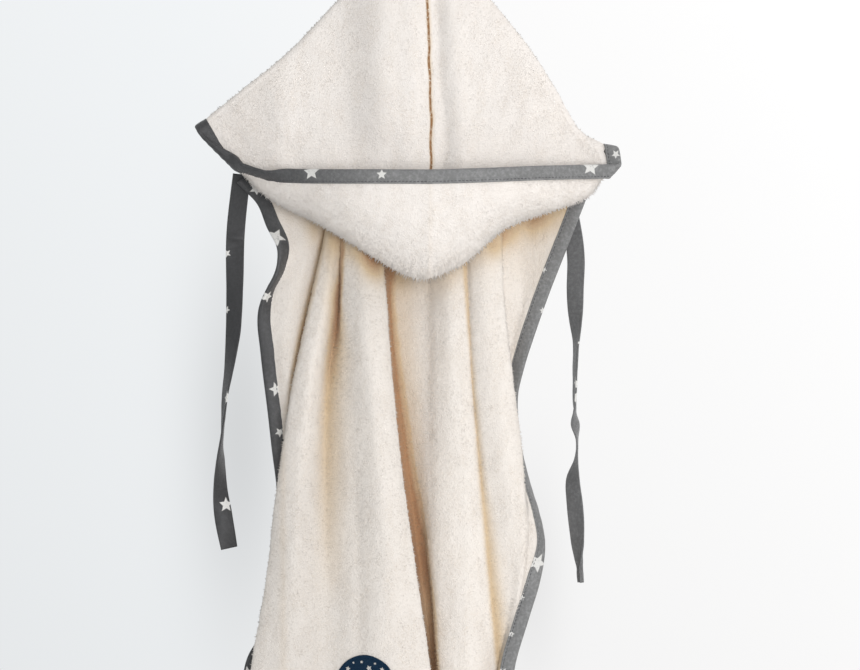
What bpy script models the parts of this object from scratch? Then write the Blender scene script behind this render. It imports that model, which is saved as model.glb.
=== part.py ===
"""Hooded baby bath cape hung by its nape loop on a round wall hook.

Frame: metres, +Z up, origin at the middle of the hook's wall face, +Y into the wall, so all
of the part is at y <= 0. Tables below are in millimetres: x to the right as seen from the
room, z up from the hook, and f is the distance forward of the wall (y = -f).
"""
import functools
import math

import bmesh
import bpy
import numpy as np

# ---------------------------------------------------------------- driving sizes, mm
TERRY = 2.4            # wall of the towelling
TAPE = 1.6             # folded binding on the edges
COTTON = 1.4           # ties, loop and patch
BINDING = 10.4         # binding width as sewn
TIE_WIDTH = 15.4
SEAM_GAP = 0.35
NECK_GAP = 1.0         # each side of the neck seam, measured up and down
NECK_TOP = -30.0       # nape end of the neckline
CROWN_TOP = -22.0      # top of the fold over the nape
NECK_LEFT = (-146.0, -238.0)    # neck corners, x and z
NECK_RIGHT = (127.0, -255.0)
NECK_ROUND = 10.0      # rounding of the neckline at the nape
NECK_F = (18.5, 22.8)  # how far forward the neckline is, nape and corners
FOLD_ROUND = (4.5, 5.5)  # radius of the fold between hood and flap, nape and corner
PATCH = (-46.5, -659.5, 24.0)   # middle x, middle z, radius
PLATE_RADIUS, PLATE_THICK = 22.0, 6.0
PEG_RADIUS, PEG_REACH, KNOB_RADIUS = 5.0, 34.0, 9.0
LOOP_WIDTH = 8.0

# ---------------------------------------------------------------- hood, one table a side
# A row is a station from the centre seam (0) to the point of the hood's side (1).
# rim: where the face binding is sewn. free: the binding's other edge. bottom: the fold under
# the pouch. crown: the fold along the hood's sloping side.
HOOD_COLUMNS = ("at", "rim_x", "rim_z", "free_x", "free_z", "bottom_x", "bottom_z",
                "bottom_f", "rim_f", "crown_x", "crown_z")
HOOD_LEFT = (
    (0.0,     7, -244.7,     8, -234.8,   5.6, -324.3, 61, 100,    0,  -22.0),
    (0.2,   -35, -244.5,   -35, -234.3,   -33, -309.5, 60,  98,  -36,  -57.5),
    (0.4,   -75, -244.3,   -75, -234.0,   -72, -286.2, 58,  92,  -72,  -94.5),
    (0.6,  -112, -243.2,  -112, -233.8,  -110, -265.0, 54,  79, -109, -134.0),
    (0.8,  -150, -234.0,  -146, -228.0,  -149, -240.5, 49,  58, -142, -162.0),
    (0.9,  -168, -223.6,  -162, -221.5,  -168, -223.6, 46,  51, -157, -175.0),
    (1.0,  -183, -205.5,  -178, -202.5,  -183, -205.5, 42,  46, -171, -187.5),
)
HOOD_RIGHT = (
    (0.0,     7, -244.7,     8, -234.8,   5.6, -324.3, 61, 100,    0,  -22.0),
    (0.2,    37, -244.0,    37, -233.7,    36, -309.5, 60,  98,   26,  -54.0),
    (0.4,    67, -242.7,    67, -231.8,    66, -283.7, 58,  92,   55,  -90.0),
    (0.6,    98, -241.2,    98, -230.9,    98, -270.6, 54,  79,   85, -127.0),
    (0.8,   128, -240.0,   128, -230.4,   128, -260.3, 49,  62,  111, -167.0),
    (0.9,   143, -239.8,   143, -230.0,   143, -251.5, 46,  52,  130, -199.0),
    (1.0,   158, -238.0,   155, -229.6,   158, -238.0, 42,  46,  152, -213.0),
)

# ---------------------------------------------------------------- body, a row a fold line
# Each line runs from the neckline (neck_x) down to the hem (hem_z). x and f are given at
# the heights in LEVELS.
LEVELS = (-271, -342, -408, -466, -516, -582, -649, -757)
FOLDS = (
    # name          neck_x  x at LEVELS                                     f at LEVELS                        hem_z
    ("edge_left",     -146, None,                                           None,                              -707),
    ("panel_1",       -118, None,                                           (28, 30, 28, 22, 18, 17, 14, 12),  -730),
    ("valley_a",        -86, (-74, -86, -98, -103, -100, -102, -110, -108),  (20, 18, 16, 16, 18, 19, 20, 23),  -750),
    ("ridge_a",        -80, (-77, -92, -106, -115, -122, -130, -142, -147), (34, 38, 40, 40, 38, 34, 32, 34),  -750),
    ("pleat_2",        -64, (-71, -81, -94, -101, -105, -110, -114, -116),  (40, 46, 50, 52, 52, 52, 52, 50),  -759),
    ("valley_b",       -52, (-68, -72, -79, -85, -86, -87, -89, -89),       (32, 28, 29, 34, 40, 46, 50, 50),  -762),
    ("ridge_b",        -46, (-66, -66, -64, -61, -58, -56, -58, -60),       (38, 42, 46, 50, 54, 58, 60, 60),  -765),
    ("pleat_3",        -30, (-50, -48, -43, -37, -32, -28, -26, -24),       (47, 55, 61, 66, 70, 72, 74, 74),  -767),
    ("ridge_c",        -17, (-35, -30, -24, -17, -11, -2, 6, 16),           (40, 48, 52, 56, 60, 62, 64, 64),  -762),
    ("return_c",       -14, (-37, -32, -27, -22, -16, -7, 2, 11),           (28, 34, 38, 40, 42, 44, 46, 46),  -757),
    ("valley_c",       -10, (-29, -26, -21, -14, -7, 1, 9.5, 20),           (17, 16, 16, 18, 18, 20, 22, 24),  -754),
    ("floor_left",      -6, (-23, -21, -16, -8, -1, 7.5, 12.5, 22.5),       (15, 15, 15, 16, 18, 22, 28, 30),  -749),
    ("floor_right",      6, (10, 10.5, 11, 11.5, 12, 13, 14.5, 25),         (17, 18, 18, 20, 22, 26, 32, 34),  -744),
    ("ridge_d",          9, (12.5, 13, 13.5, 14, 15, 16, 17, 27.5),         (24, 26, 30, 32, 36, 40, 44, 44),  -739),
    ("pleat_4",         16, (23, 24, 26.5, 31, 34, 37, 40.5, 48),           (38, 44, 48, 50, 52, 54, 56, 56),  -729),
    ("ridge_e",         25, (33, 37, 41.5, 47, 51, 56, 61, 56),             (32, 36, 38, 40, 42, 42, 42, 38),  -712),
    ("valley_e",        28, (36.5, 40, 45, 51.5, 56, 61.5, 64.3, 63.5),       (21, 22, 23, 24, 26, 29, 39, 37),  -702),
    ("pleat_5",         33, (40, 44, 50, 56.5, 61.5, 67, 64.5, 62.8),       (32, 35, 37, 38, 39, 38, 42, 41),  -694),
    ("crest_5",         46, (52, 56, 62, 69, 74, 75, 64.3, 62),             (43, 46, 48, 48, 48, 45, 45, 45),  -688),
    ("ridge_f",         62, (65, 67, 74.5, 81.5, 84, 80.5, 64.2, 61.5),     (36, 38, 38, 38, 44, 46, 47.5, 48.5), -683),
    ("return_f",        66, (62, 64, 71.5, 78, 86, 82, 64.3, 61.3),         (27, 27, 27, 27, 41, 45.5, 49.8, 51), -680),
    ("panel_6",         98, (94, 81, 70.5, 70.5, 87, 83, 64.8, 61.5),       (19, 19, 19, 19, 38, 45, 52, 53.5), -676),
    ("edge_right",     127, None,                                           None,                              -672),
)
# The body's side edges: where the binding is sewn, and its free edge.
EDGE_COLUMNS = ("z", "sewn_x", "sewn_f", "free_x", "free_f")
EDGE_LEFT = (
    (-238, -146, 22.8, -155, 23.5),
    (-253, -131, 26,   -139, 24),
    (-276, -120, 30,   -130, 29),
    (-296, -112, 33,   -121, 34),
    (-315, -115, 31,   -122, 38),
    (-334, -124, 26,   -128, 34),
    (-355, -127, 24,   -136, 27),
    (-383, -125, 24,   -135, 24),
    (-423, -120, 23,   -130, 24),
    (-464, -115, 18,   -125, 19),
    (-499, -111, 14,   -120, 14),
    (-545, -111, 13,   -121, 13),
    (-590, -115, 13.5, -125, 13),
    (-624, -124, 14.5, -134, 14),
    (-640, -135, 15.5, -145, 15),
    (-674, -139, 16.5, -149, 16),
    (-707, -134, 17.5, -143, 17),
)
EDGE_RIGHT = (
    (-255,  127, 22.8,  138, 24),
    (-278,  118, 24,    130, 26),
    (-311,  105, 24,    118, 26),
    (-349,   91, 23,    101, 26),
    (-393,   77, 20,     87, 24),
    (-420,   71, 16,     78, 18),
    (-458, 71.5, 15.5, 80.5, 13.5),
    (-493,   81, 24,     88, 22),
    (-517,   89, 34,     97, 32),
    (-541,   93, 40,    101, 38),
    (-571,   88, 44,     98, 45),
    (-603,   79, 48,     92, 50),
    (-648,   66, 53.6,   79, 54.5),
    (-672, 64.8, 54.5,   76, 56),
)
# Ties: z, middle x, f, and how far the strip has turned out of the wall's plane, degrees.
TIE_COLUMNS = ("z", "x", "f", "turn")
TIE_LEFT = (
    (-240, -149.5, 19.5, 15),
    (-287, -154.5, 18, 3),
    (-331, -155.2, 18, 22),
    (-371, -156.2, 20, 42),
    (-408, -160.0, 21, 58),
    (-443, -165.2, 22, 80),
    (-466, -166.8, 22, 106),
    (-499, -166.8, 21, 132),
    (-523, -164.3, 20, 168),
    (-549, -159.6, 19, 152),
)
TIE_RIGHT = (
    (-262,  132.0, 19.0, 8),
    (-292,  127.6, 17.0, 15),
    (-333,  127.8, 17.0, 24),
    (-353,  128.0, 18.0, 40),
    (-376,  128.3, 20.0, 72),
    (-406,  127.4, 20.0, 80),
    (-435,  126.8, 20.0, 96),
    (-445,  127.6, 20.0, 118),
    (-456,  129.0, 20.0, 98),
    (-474,  128.2, 20.0, 84),
    (-492,  125.8, 20.0, 44),
    (-512,  127.4, 19.0, 30),
    (-544,  129.6, 19.0, 48),
    (-567,  130.0, 19.0, 74),
    (-578,  130.8, 19.0, 80),
)


# ---------------------------------------------------------------- curves through the tables
def smooth(at, values, where):
    """A cubic through a table's rows, its slope at each row taken from the rows beside it."""
    at, values = np.asarray(at, float), np.asarray(values, float)
    if at[0] > at[-1]:
        at, values = at[::-1], values[::-1]
    slope = np.gradient(values, at)
    where = np.clip(where, at[0], at[-1])
    i = np.clip(np.searchsorted(at, where) - 1, 0, len(at) - 2)
    step = at[i + 1] - at[i]
    t = (where - at[i]) / step
    return (values[i] * (1 + 2 * t) * (1 - t) ** 2 + values[i + 1] * t * t * (3 - 2 * t)
            + step * t * (1 - t) * (slope[i] * (1 - t) - slope[i + 1] * t))


def read(table, columns, name, where):
    rows = np.array(table, float)
    return smooth(rows[:, 0], rows[:, columns.index(name)], where)


def neck_z(x):
    """Height of the neckline over x: two slopes that meet in a round at the nape."""
    corner = NECK_LEFT if x < 0 else NECK_RIGHT
    fall = (NECK_TOP - corner[1]) / (math.hypot(corner[0], NECK_ROUND) - NECK_ROUND)
    return NECK_TOP - fall * (math.hypot(x, NECK_ROUND) - NECK_ROUND)


def neck_f(x):
    corner = NECK_LEFT if x < 0 else NECK_RIGHT
    return NECK_F[0] + (NECK_F[1] - NECK_F[0]) * abs(x / corner[0])


# ---------------------------------------------------------------- cape body
@functools.lru_cache(maxsize=None)
def fold_lines(z):
    """x and f of every fold line at height z, from the left edge to the right edge, and the
    knots of the curve through them."""
    points = []
    for name, top_x, xs, fs, _ in FOLDS:
        if xs is None and fs is None:
            edge = EDGE_LEFT if name == "edge_left" else EDGE_RIGHT
            points.append((read(edge, EDGE_COLUMNS, "sewn_x", z), read(edge, EDGE_COLUMNS, "sewn_f", z)))
            continue
        top = neck_z(top_x)
        if xs is None:
            points.append((None, smooth((top,) + LEVELS, (neck_f(top_x),) + fs, z)))
            continue
        points.append((smooth((top,) + LEVELS, (top_x,) + xs, z),
                       smooth((top,) + LEVELS, (neck_f(top_x),) + fs, z)))
    low = points[0][0]
    points[1] = (low + 0.45 * (points[2][0] - low), points[1][1])
    lines = np.array(points, float)
    spans = np.sqrt(np.linalg.norm(np.diff(lines, axis=0), axis=1)) + 0.4
    return lines, np.concatenate([[0], np.cumsum(spans)])


def body_point(fold, z):
    """A point of the body: fold is a fold line's number, with a fraction towards the next."""
    lines, knots = fold_lines(z)
    where = np.interp(fold, np.arange(len(lines)), knots)
    return np.array([smooth(knots, lines[:, 0], where), smooth(knots, lines[:, 1], where), z])


def body_row_z(fold, share):
    """Height at a share of the way from the neckline (0) to the hem (1)."""
    numbers = np.arange(len(FOLDS))
    top_x = np.interp(fold, numbers, [row[1] for row in FOLDS])
    hem = smooth(numbers, [row[4] for row in FOLDS], fold)
    top = neck_z(top_x) - NECK_GAP
    return top + (hem - top) * share


def body_grid(splits, rows):
    folds = [i + k / splits for i in range(len(FOLDS) - 1) for k in range(splits)] + [len(FOLDS) - 1]
    shares = np.linspace(0, 1, rows)
    return [[body_on_neck(fold, share) for fold in folds] for share in shares]


def body_on_neck(fold, share):
    """Near the neckline the fold lines have not opened yet, so the points start on the neckline."""
    z = body_row_z(fold, share)
    top_x = np.interp(fold, np.arange(len(FOLDS)), [row[1] for row in FOLDS])
    top_z = neck_z(top_x) - NECK_GAP
    point = body_point(fold, z)
    blend = min(1.0, max(0.0, (top_z - z) / 45.0))
    blend = blend * blend * (3 - 2 * blend)
    inside = min(1.0, max(0.0, min(fold, len(FOLDS) - 1 - fold) / 2))
    blend = 1 - (1 - blend) * inside
    start = np.array([top_x, neck_f(top_x), z])
    return start + (point - start) * blend


def body_front(x, z, first, last):
    """How far forward the body is over x, between two fold lines that don't hide each other."""
    folds = np.linspace(first, last, 40)
    points = np.array([body_point(fold, z) for fold in folds])
    return float(np.interp(x, points[:, 0], points[:, 1]))


# ---------------------------------------------------------------- hood
def hood_station(table, at):
    return {name: float(read(table, HOOD_COLUMNS, name, at)) for name in HOOD_COLUMNS[1:]}


def hood_column(table, at, side, near_rows, far_rows, flap_rows):
    """One line of points from the face edge under the pouch, up the far wall, over the crown
    fold and down the flap to the neckline."""
    s = hood_station(table, at)
    corner = NECK_LEFT if side < 0 else NECK_RIGHT
    rise = s["crown_z"] - CROWN_TOP
    crown = np.array([s["crown_x"], CROWN_TOP + rise * (1 - math.exp(-abs(rise) / 8.0))])
    neck_x = corner[0] * at
    neck = np.array([neck_x, neck_z(neck_x) + NECK_GAP])
    inward = (neck - crown) / np.linalg.norm(neck - crown)
    radius = FOLD_ROUND[0] + (FOLD_ROUND[1] - FOLD_ROUND[0]) * at
    middle = crown + inward * radius
    middle_f = neck_f(neck_x) + radius + 5.0 * at
    rim = np.array([s["rim_x"], s["rim_z"]])
    bottom = np.array([s["bottom_x"], s["bottom_z"]])
    points = []
    height = np.linalg.norm(rim - bottom)
    for share in near_rows:
        if height < 1.0:
            points.append((bottom[0], s["bottom_f"], bottom[1]))
            continue
        x, z = bottom + (rim - bottom) * share
        opening = (1 - (1 - share) ** 2.2) ** 0.7
        points.append((x, s["bottom_f"] + (s["rim_f"] - s["bottom_f"]) * opening, z))
    for share in far_rows:
        x, z = bottom + (middle - bottom) * share
        bow = 4.2 * math.sin(math.pi * share) * (1 - at)
        belly = 5.0 * 4 * share * (1 - share) * (1 - at * at)
        f = s["bottom_f"] + (middle_f + radius - s["bottom_f"]) * share + belly
        points.append((x + bow, f, z))
    for turn in (45, 90, 135):
        x, z = middle - inward * radius * math.sin(math.radians(turn))
        points.append((x, middle_f + radius * math.cos(math.radians(turn)), z))
    for share in flap_rows:
        x, z = middle + (neck - middle) * share
        f = middle_f - radius + (neck_f(neck_x) - middle_f + radius) * share
        points.append((x, f, z))
    return points


NEAR_ROWS = (1, 0.72, 0.45, 0.22, 0.09, 0.02)
FAR_ROWS = (0, 0.12, 0.25, 0.4, 0.55, 0.7, 0.85, 1)
FLAP_ROWS = (0, 0.5, 1)
HOOD_AT = (0, 0.04, 0.09, 0.17, 0.26, 0.35, 0.44, 0.53, 0.62, 0.7, 0.77, 0.84, 0.9, 0.95, 1)


def hood_half(table, side):
    """Columns from the centre seam outwards, each from the front binding's free edge through
    the pouch, far wall and crown to the neckline, then the side binding's two columns."""
    columns = []
    for at in HOOD_AT:
        s = hood_station(table, at)
        rim = np.array([s["rim_x"], s["rim_f"], s["rim_z"]])
        free = np.array([s["free_x"], s["rim_f"] + 0.5, s["free_z"]])
        way = (free - rim) / np.linalg.norm(free - rim)
        column = [free, rim + way * SEAM_GAP]
        column += [np.array(p) for p in hood_column(table, at, side, NEAR_ROWS, FAR_ROWS, FLAP_ROWS)]
        columns.append(column)
    for p in columns[0]:
        p[0] += side * SEAM_GAP / 2
    edge = np.array(columns[-1])
    far, flap = 2 + len(NEAR_ROWS), len(FLAP_ROWS)
    tilt = np.interp(np.arange(len(edge)), (far, far + len(FAR_ROWS) - 1, len(edge) - flap, len(edge) - 1),
                     (0.35, -0.35, -0.35, 0.37))
    way = np.stack([np.full(len(edge), side * 0.93), np.zeros(len(edge)), tilt], axis=1)
    way /= np.linalg.norm(way, axis=1)[:, None]
    columns.append(list(edge + way * 3 * SEAM_GAP))
    columns.append(list(edge + way * BINDING))
    return columns


# ---------------------------------------------------------------- objects
def collection(name):
    made = bpy.data.collections.new(name)
    bpy.context.scene.collection.children.link(made)
    return made


def material(name, colour, roughness, metallic=0.0):
    made = bpy.data.materials.new(name)
    made.use_nodes = True
    shader = made.node_tree.nodes["Principled BSDF"]
    shader.inputs["Base Color"].default_value = (*colour, 1)
    shader.inputs["Roughness"].default_value = roughness
    shader.inputs["Metallic"].default_value = metallic
    return made


def place(points):
    """Table millimetres (x, f, z) to metres in the part's frame."""
    points = np.asarray(points, float)
    return np.stack([points[..., 0], -points[..., 1], points[..., 2]], axis=-1) * 0.001


def cloth(grid, label_of, wall, finishes):
    """Closed solids from one grid of points that several pieces share. label_of(i, j) names
    the piece of the cell between rows i, i + 1 and columns j, j + 1, or None in a seam's gap.
    The normals come from the whole grid, so that the walls at a seam stay parallel."""
    points = place(grid)
    rows, columns = points.shape[:2]
    flat = points.reshape(-1, 3)
    _, first, merged = np.unique(np.round(flat / 0.00003).astype(int), axis=0,
                                 return_index=True, return_inverse=True)
    merged = merged.reshape(rows, columns)
    spots = flat[first]
    normals = np.zeros_like(spots)
    pieces = {}
    for i in range(rows - 1):
        for j in range(columns - 1):
            a, b, c, d = merged[i, j], merged[i, j + 1], merged[i + 1, j + 1], merged[i + 1, j]
            for tri in ((a, b, c), (a, c, d)):
                if len(set(tri)) < 3:
                    continue
                facing = np.cross(spots[tri[1]] - spots[tri[0]], spots[tri[2]] - spots[tri[0]])
                for k in tri:
                    normals[k] += facing
                name = label_of(i, j)
                if name:
                    pieces.setdefault(name, []).append(tri)
    across = list(range(len(spots)))

    def root(k):
        while across[k] != k:
            k = across[k]
        return k

    neighbours = [(merged[i, j], merged[i + 1, j]) for i in range(rows - 1) for j in range(columns)]
    neighbours += [(merged[i, j], merged[i, j + 1]) for i in range(rows) for j in range(columns - 1)]
    for one, other in neighbours:
        if one != other and np.linalg.norm(spots[one] - spots[other]) < 0.0015:
            across[root(one)] = root(other)
    shared = np.zeros_like(normals)
    for k in range(len(spots)):
        shared[root(k)] += normals[k]
    normals = np.array([shared[root(k)] for k in range(len(spots))])
    normals /= np.maximum(np.linalg.norm(normals, axis=1), 1e-12)[:, None]
    for name, tris in pieces.items():
        thick = wall(name)
        used = sorted({k for tri in tris for k in tri})
        mesh = bmesh.new()
        front = {k: mesh.verts.new(spots[k] + normals[k] * thick * 0.0005) for k in used}
        back = {k: mesh.verts.new(spots[k] - normals[k] * thick * 0.0005) for k in used}
        sides = {}
        for a, b, c in tris:
            mesh.faces.new((front[a], front[b], front[c]))
            mesh.faces.new((back[c], back[b], back[a]))
            for one, other in ((a, b), (b, c), (c, a)):
                sides[one, other] = sides.get((one, other), 0) + 1
        for one, other in sides:
            if (other, one) not in sides:
                mesh.faces.new((front[other], front[one], back[one]))
                mesh.faces.new((front[other], back[one], back[other]))
        bmesh.ops.recalc_face_normals(mesh, faces=mesh.faces)
        add_object(name, mesh, finishes(name))


def add_object(name, mesh, finish):
    data = bpy.data.meshes.new(name)
    mesh.to_mesh(data)
    mesh.free()
    data.shade_smooth()
    data.set_sharp_from_angle(angle=math.radians(50))
    data.materials.append(finish)
    made = bpy.data.objects.new(name, data)
    PARTS.objects.link(made)
    return made


def strip(name, one_edge, other_edge, wall, finish):
    cloth([one_edge, other_edge], lambda i, j: name, lambda _: wall, lambda _: finish)


def terry_or_binding(name):
    return CHARCOAL if "binding" in name else IVORY


def terry_or_tape(name):
    return TAPE if "binding" in name else TERRY


def body_parts():
    """The panel, its side bindings beyond its edges and the hem's binding below it."""
    panel = body_grid(2, 20)
    grid = []
    for row in panel:
        sides = []
        for edge, side, point in ((EDGE_LEFT, -1, row[0]), (EDGE_RIGHT, 1, row[-1])):
            z = point[2]
            free = np.array([read(edge, EDGE_COLUMNS, "free_x", z), read(edge, EDGE_COLUMNS, "free_f", z), z])
            way = (free - point) / np.linalg.norm(free - point)
            sides.append((point + way * 1.6 * SEAM_GAP, point + way * BINDING))
        grid.append([sides[0][1], sides[0][0]] + row + [sides[1][0], sides[1][1]])
    last = np.array(grid[-1])
    hem, above = last[2:-2], np.array(panel[-2])
    along = np.gradient(hem, axis=0)
    along /= np.linalg.norm(along, axis=1)[:, None]
    down = hem - above
    down -= along * (down * along).sum(axis=1)[:, None]
    down /= np.linalg.norm(down, axis=1)[:, None]
    padded = np.concatenate([down[:1]] * 2 + [down] + [down[-1:]] * 2)
    down = sum(padded[k:k + len(down)] * share for k, share in enumerate((1, 2, 3, 2, 1)))
    down /= np.linalg.norm(down, axis=1)[:, None]
    for side in (0, -1):
        edge = last[2 if side == 0 else -3]
        out = last[side] - edge
        corner = down[side] + out / np.linalg.norm(out)
        corner /= np.linalg.norm(corner)
        down[side] = corner
        lift = np.array([0, 0, 2 * SEAM_GAP])
        grid[-1][1 if side == 0 else -2] = edge + corner * 1.6 * SEAM_GAP + lift
        grid[-1][side] = edge + corner * BINDING + lift
    sewn, free = last.copy(), last.copy()
    sewn[2:-2] += down * 4 * SEAM_GAP
    free[2:-2] += down * (3 * SEAM_GAP + BINDING)
    grid += [list(sewn), list(free)]
    rows, columns = len(panel), len(panel[0])

    def label(i, j):
        if i >= rows:
            return "hem_binding" if 2 <= j <= columns else None
        if i == rows - 1 or j in (1, columns + 1):
            return None
        if j == 0:
            return "body_binding_left"
        if j == columns + 2:
            return "body_binding_right"
        return "cape_body"

    cloth(grid, label, terry_or_tape, terry_or_binding)


def hood_parts():
    """One grid for both panels and the three stretches of the face binding."""
    left, right = hood_half(HOOD_LEFT, -1), hood_half(HOOD_RIGHT, 1)
    columns = left[::-1] + right
    grid = [[column[i] for column in columns] for i in range(len(left[0]))]
    half, start = len(left), 2 + len(NEAR_ROWS)

    def label(i, j):
        outer = min(j, len(columns) - 2 - j)
        side = "left" if j < half else "right"
        if i == 0:
            return "hood_binding_front" if outer >= 2 else None
        if i == 1 or outer == 1:
            return None
        if outer == 0:
            return "hood_binding_" + side if i >= start else None
        return None if j == half - 1 else "hood_" + side

    cloth(grid, label, terry_or_tape, terry_or_binding)


def tie(name, table):
    zs = np.linspace(table[0][0], table[-1][0], 26)
    edges = [[], []]
    for z in zs:
        x, f = read(table, TIE_COLUMNS, "x", z), read(table, TIE_COLUMNS, "f", z)
        turn = math.radians(read(table, TIE_COLUMNS, "turn", z))
        for k, sign in enumerate((-1, 1)):
            edges[k].append((x + sign * TIE_WIDTH / 2 * math.cos(turn),
                             f + sign * TIE_WIDTH / 2 * math.sin(turn), z))
    strip(name, edges[0], edges[1], COTTON, CHARCOAL)


def patch():
    middle_x, middle_z, radius = PATCH
    lift = TERRY / 2 + SEAM_GAP + COTTON / 2
    first = [row[0] for row in FOLDS].index("valley_b")
    last = [row[0] for row in FOLDS].index("ridge_c")

    def on_body(x, z):
        f = body_front(x, z, first, last)
        slope_x = (body_front(x + 1, z, first, last) - body_front(x - 1, z, first, last)) / 2
        slope_z = (body_front(x, z + 1, first, last) - body_front(x, z - 1, first, last)) / 2
        out = np.array([-slope_x, 1, -slope_z]) / math.sqrt(1 + slope_x ** 2 + slope_z ** 2)
        return np.array([x, f, z]) + out * (lift + 0.35)

    shares = (0.0, 0.36, 0.7, 1.0)
    grid = [[on_body(middle_x + radius * share * math.cos(2 * math.pi * k / 24),
                     middle_z + radius * share * math.sin(2 * math.pi * k / 24))
             for k in range(25)] for share in shares]
    cloth(grid, lambda i, j: "patch", lambda _: COTTON, lambda _: NAVY)


def wall_hook():
    """Plate, peg and knob turned in one piece; the axis points out of the wall."""
    profile = ((0, 0), (PLATE_RADIUS, 0), (PLATE_RADIUS, PLATE_THICK - 1.5),
               (PLATE_RADIUS - 1.5, PLATE_THICK), (PEG_RADIUS + 2, PLATE_THICK),
               (PEG_RADIUS, PLATE_THICK + 2), (PEG_RADIUS, PEG_REACH - 3),
               (KNOB_RADIUS - 2, PEG_REACH - 1), (KNOB_RADIUS, PEG_REACH + 1.5),
               (KNOB_RADIUS - 0.5, PEG_REACH + 4), (KNOB_RADIUS - 3, PEG_REACH + 6), (0, PEG_REACH + 6.5))
    mesh = bmesh.new()
    verts = [mesh.verts.new((radius * 0.001, 0, along * 0.001)) for radius, along in profile]
    for one, other in zip(verts, verts[1:]):
        mesh.edges.new((other, one))
    data = bpy.data.meshes.new("wall_hook")
    mesh.to_mesh(data)
    mesh.free()
    data.materials.append(STEEL)
    made = bpy.data.objects.new("wall_hook", data)
    PARTS.objects.link(made)
    made.rotation_euler = (math.radians(90), 0, 0)
    turned = made.modifiers.new("turned", "SCREW")
    turned.steps = turned.render_steps = 32
    turned.use_merge_vertices = True
    turned.merge_threshold = 0.00001


def hanging_loop():
    """A narrow strip over the peg, its ends sewn behind the neckline."""
    inside = PEG_RADIUS + SEAM_GAP + COTTON / 2
    path = [(-7.0, -37.0), (-7.2, -27.0), (-7.0, -16.0), (-6.4, -7.0)]
    path += [(-inside * math.cos(math.radians(a)), inside * math.sin(math.radians(a))) for a in range(15, 180, 25)]
    path += [(6.4, -7.0), (7.0, -16.0), (7.2, -27.0), (7.0, -37.0)]
    back = NECK_F[0] - TERRY / 2 - SEAM_GAP
    edges = [[(x, f, z) for x, z in path] for f in (back - LOOP_WIDTH, back)]
    strip("hanging_loop", edges[0], edges[1], COTTON, CHARCOAL)


for old in list(bpy.data.objects):
    bpy.data.objects.remove(old, do_unlink=True)
PARTS = collection("baby_bath_cape")
IVORY = material("ivory_terry", (0.83, 0.78, 0.71), 0.95)
CHARCOAL = material("charcoal_cotton", (0.10, 0.10, 0.11), 0.85)
NAVY = material("navy_embroidery", (0.015, 0.04, 0.12), 0.6)
STEEL = material("brushed_steel", (0.6, 0.6, 0.6), 0.35, 1.0)

body_parts()
hood_parts()
tie("tie_left", TIE_LEFT)
tie("tie_right", TIE_RIGHT)
patch()
wall_hook()
hanging_loop()
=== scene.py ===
"""Looks of the hooded baby bath cape on its wall hook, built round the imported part.

All sizes are the part's own, in millimetres: x to the right, z up from the hook's middle, f
forward of the wall (y = -f). The tables repeat the part's folds, and the cloth here follows
them on a finer grid, with the creases, pile, binding and stitches that the solids leave out.
"""
import math

import bpy
import numpy as np
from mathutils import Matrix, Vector
from mathutils.bvhtree import BVHTree

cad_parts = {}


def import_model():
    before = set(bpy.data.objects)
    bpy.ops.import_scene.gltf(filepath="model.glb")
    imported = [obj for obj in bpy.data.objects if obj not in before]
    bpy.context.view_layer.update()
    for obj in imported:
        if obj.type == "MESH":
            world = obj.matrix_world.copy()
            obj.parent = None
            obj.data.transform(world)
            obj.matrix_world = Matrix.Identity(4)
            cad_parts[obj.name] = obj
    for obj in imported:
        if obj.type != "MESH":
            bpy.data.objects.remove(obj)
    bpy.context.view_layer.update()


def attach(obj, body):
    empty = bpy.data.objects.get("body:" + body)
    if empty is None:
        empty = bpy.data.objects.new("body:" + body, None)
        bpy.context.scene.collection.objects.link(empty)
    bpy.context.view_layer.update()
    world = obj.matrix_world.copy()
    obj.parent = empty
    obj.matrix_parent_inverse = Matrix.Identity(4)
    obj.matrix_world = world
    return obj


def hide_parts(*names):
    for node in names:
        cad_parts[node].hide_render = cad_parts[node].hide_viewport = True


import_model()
ROOT = "root"

# ---------------------------------------------------------------- the part's sizes, mm
TERRY = 2.4
BINDING = 10.4
NECK_TOP, CROWN_TOP = -30.0, -22.0
NECK_LEFT, NECK_RIGHT = (-146.0, -238.0), (127.0, -255.0)
NECK_ROUND = 10.0
NECK_F = (18.5, 22.8)
FOLD_ROUND = (4.5, 5.5)
PATCH = (-46.5, -659.5, 24.0)


# The hood's tables again, a row a station as before, with the ends as the cloth really lies.
HOOD_COLUMNS = ("at", "rim_x", "rim_z", "bottom_x", "bottom_z", "bottom_f", "rim_f", "crown_x", "crown_z")
HOOD_LEFT = (
    (0.0,      7, -244.7,    5.6, -323.6, 61, 100,      0,  -22.0),
    (0.1,   -9.5, -244.6,  -10.7, -321.0, 60.6, 99.2, -18,  -39.7),
    (0.2,    -26, -244.5,  -27.0, -312.6, 60,  98,    -36,  -57.5),
    (0.4,    -59, -244.3,  -59.5, -292.6, 58,  92,    -72,  -94.5),
    (0.6,    -92, -244.0,  -92.0, -273.9, 54,  79,   -109, -133.5),
    (0.8,   -125, -242.2, -124.0, -257.6, 50,  62,   -146, -164.0),
    (0.9,   -141, -237.6, -140.5, -244.8, 46,  53,   -163, -177.6),
    (1.0, -157.7, -231.6, -157.6, -232.9, 42,  46,   -181, -192.6),
)
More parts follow.
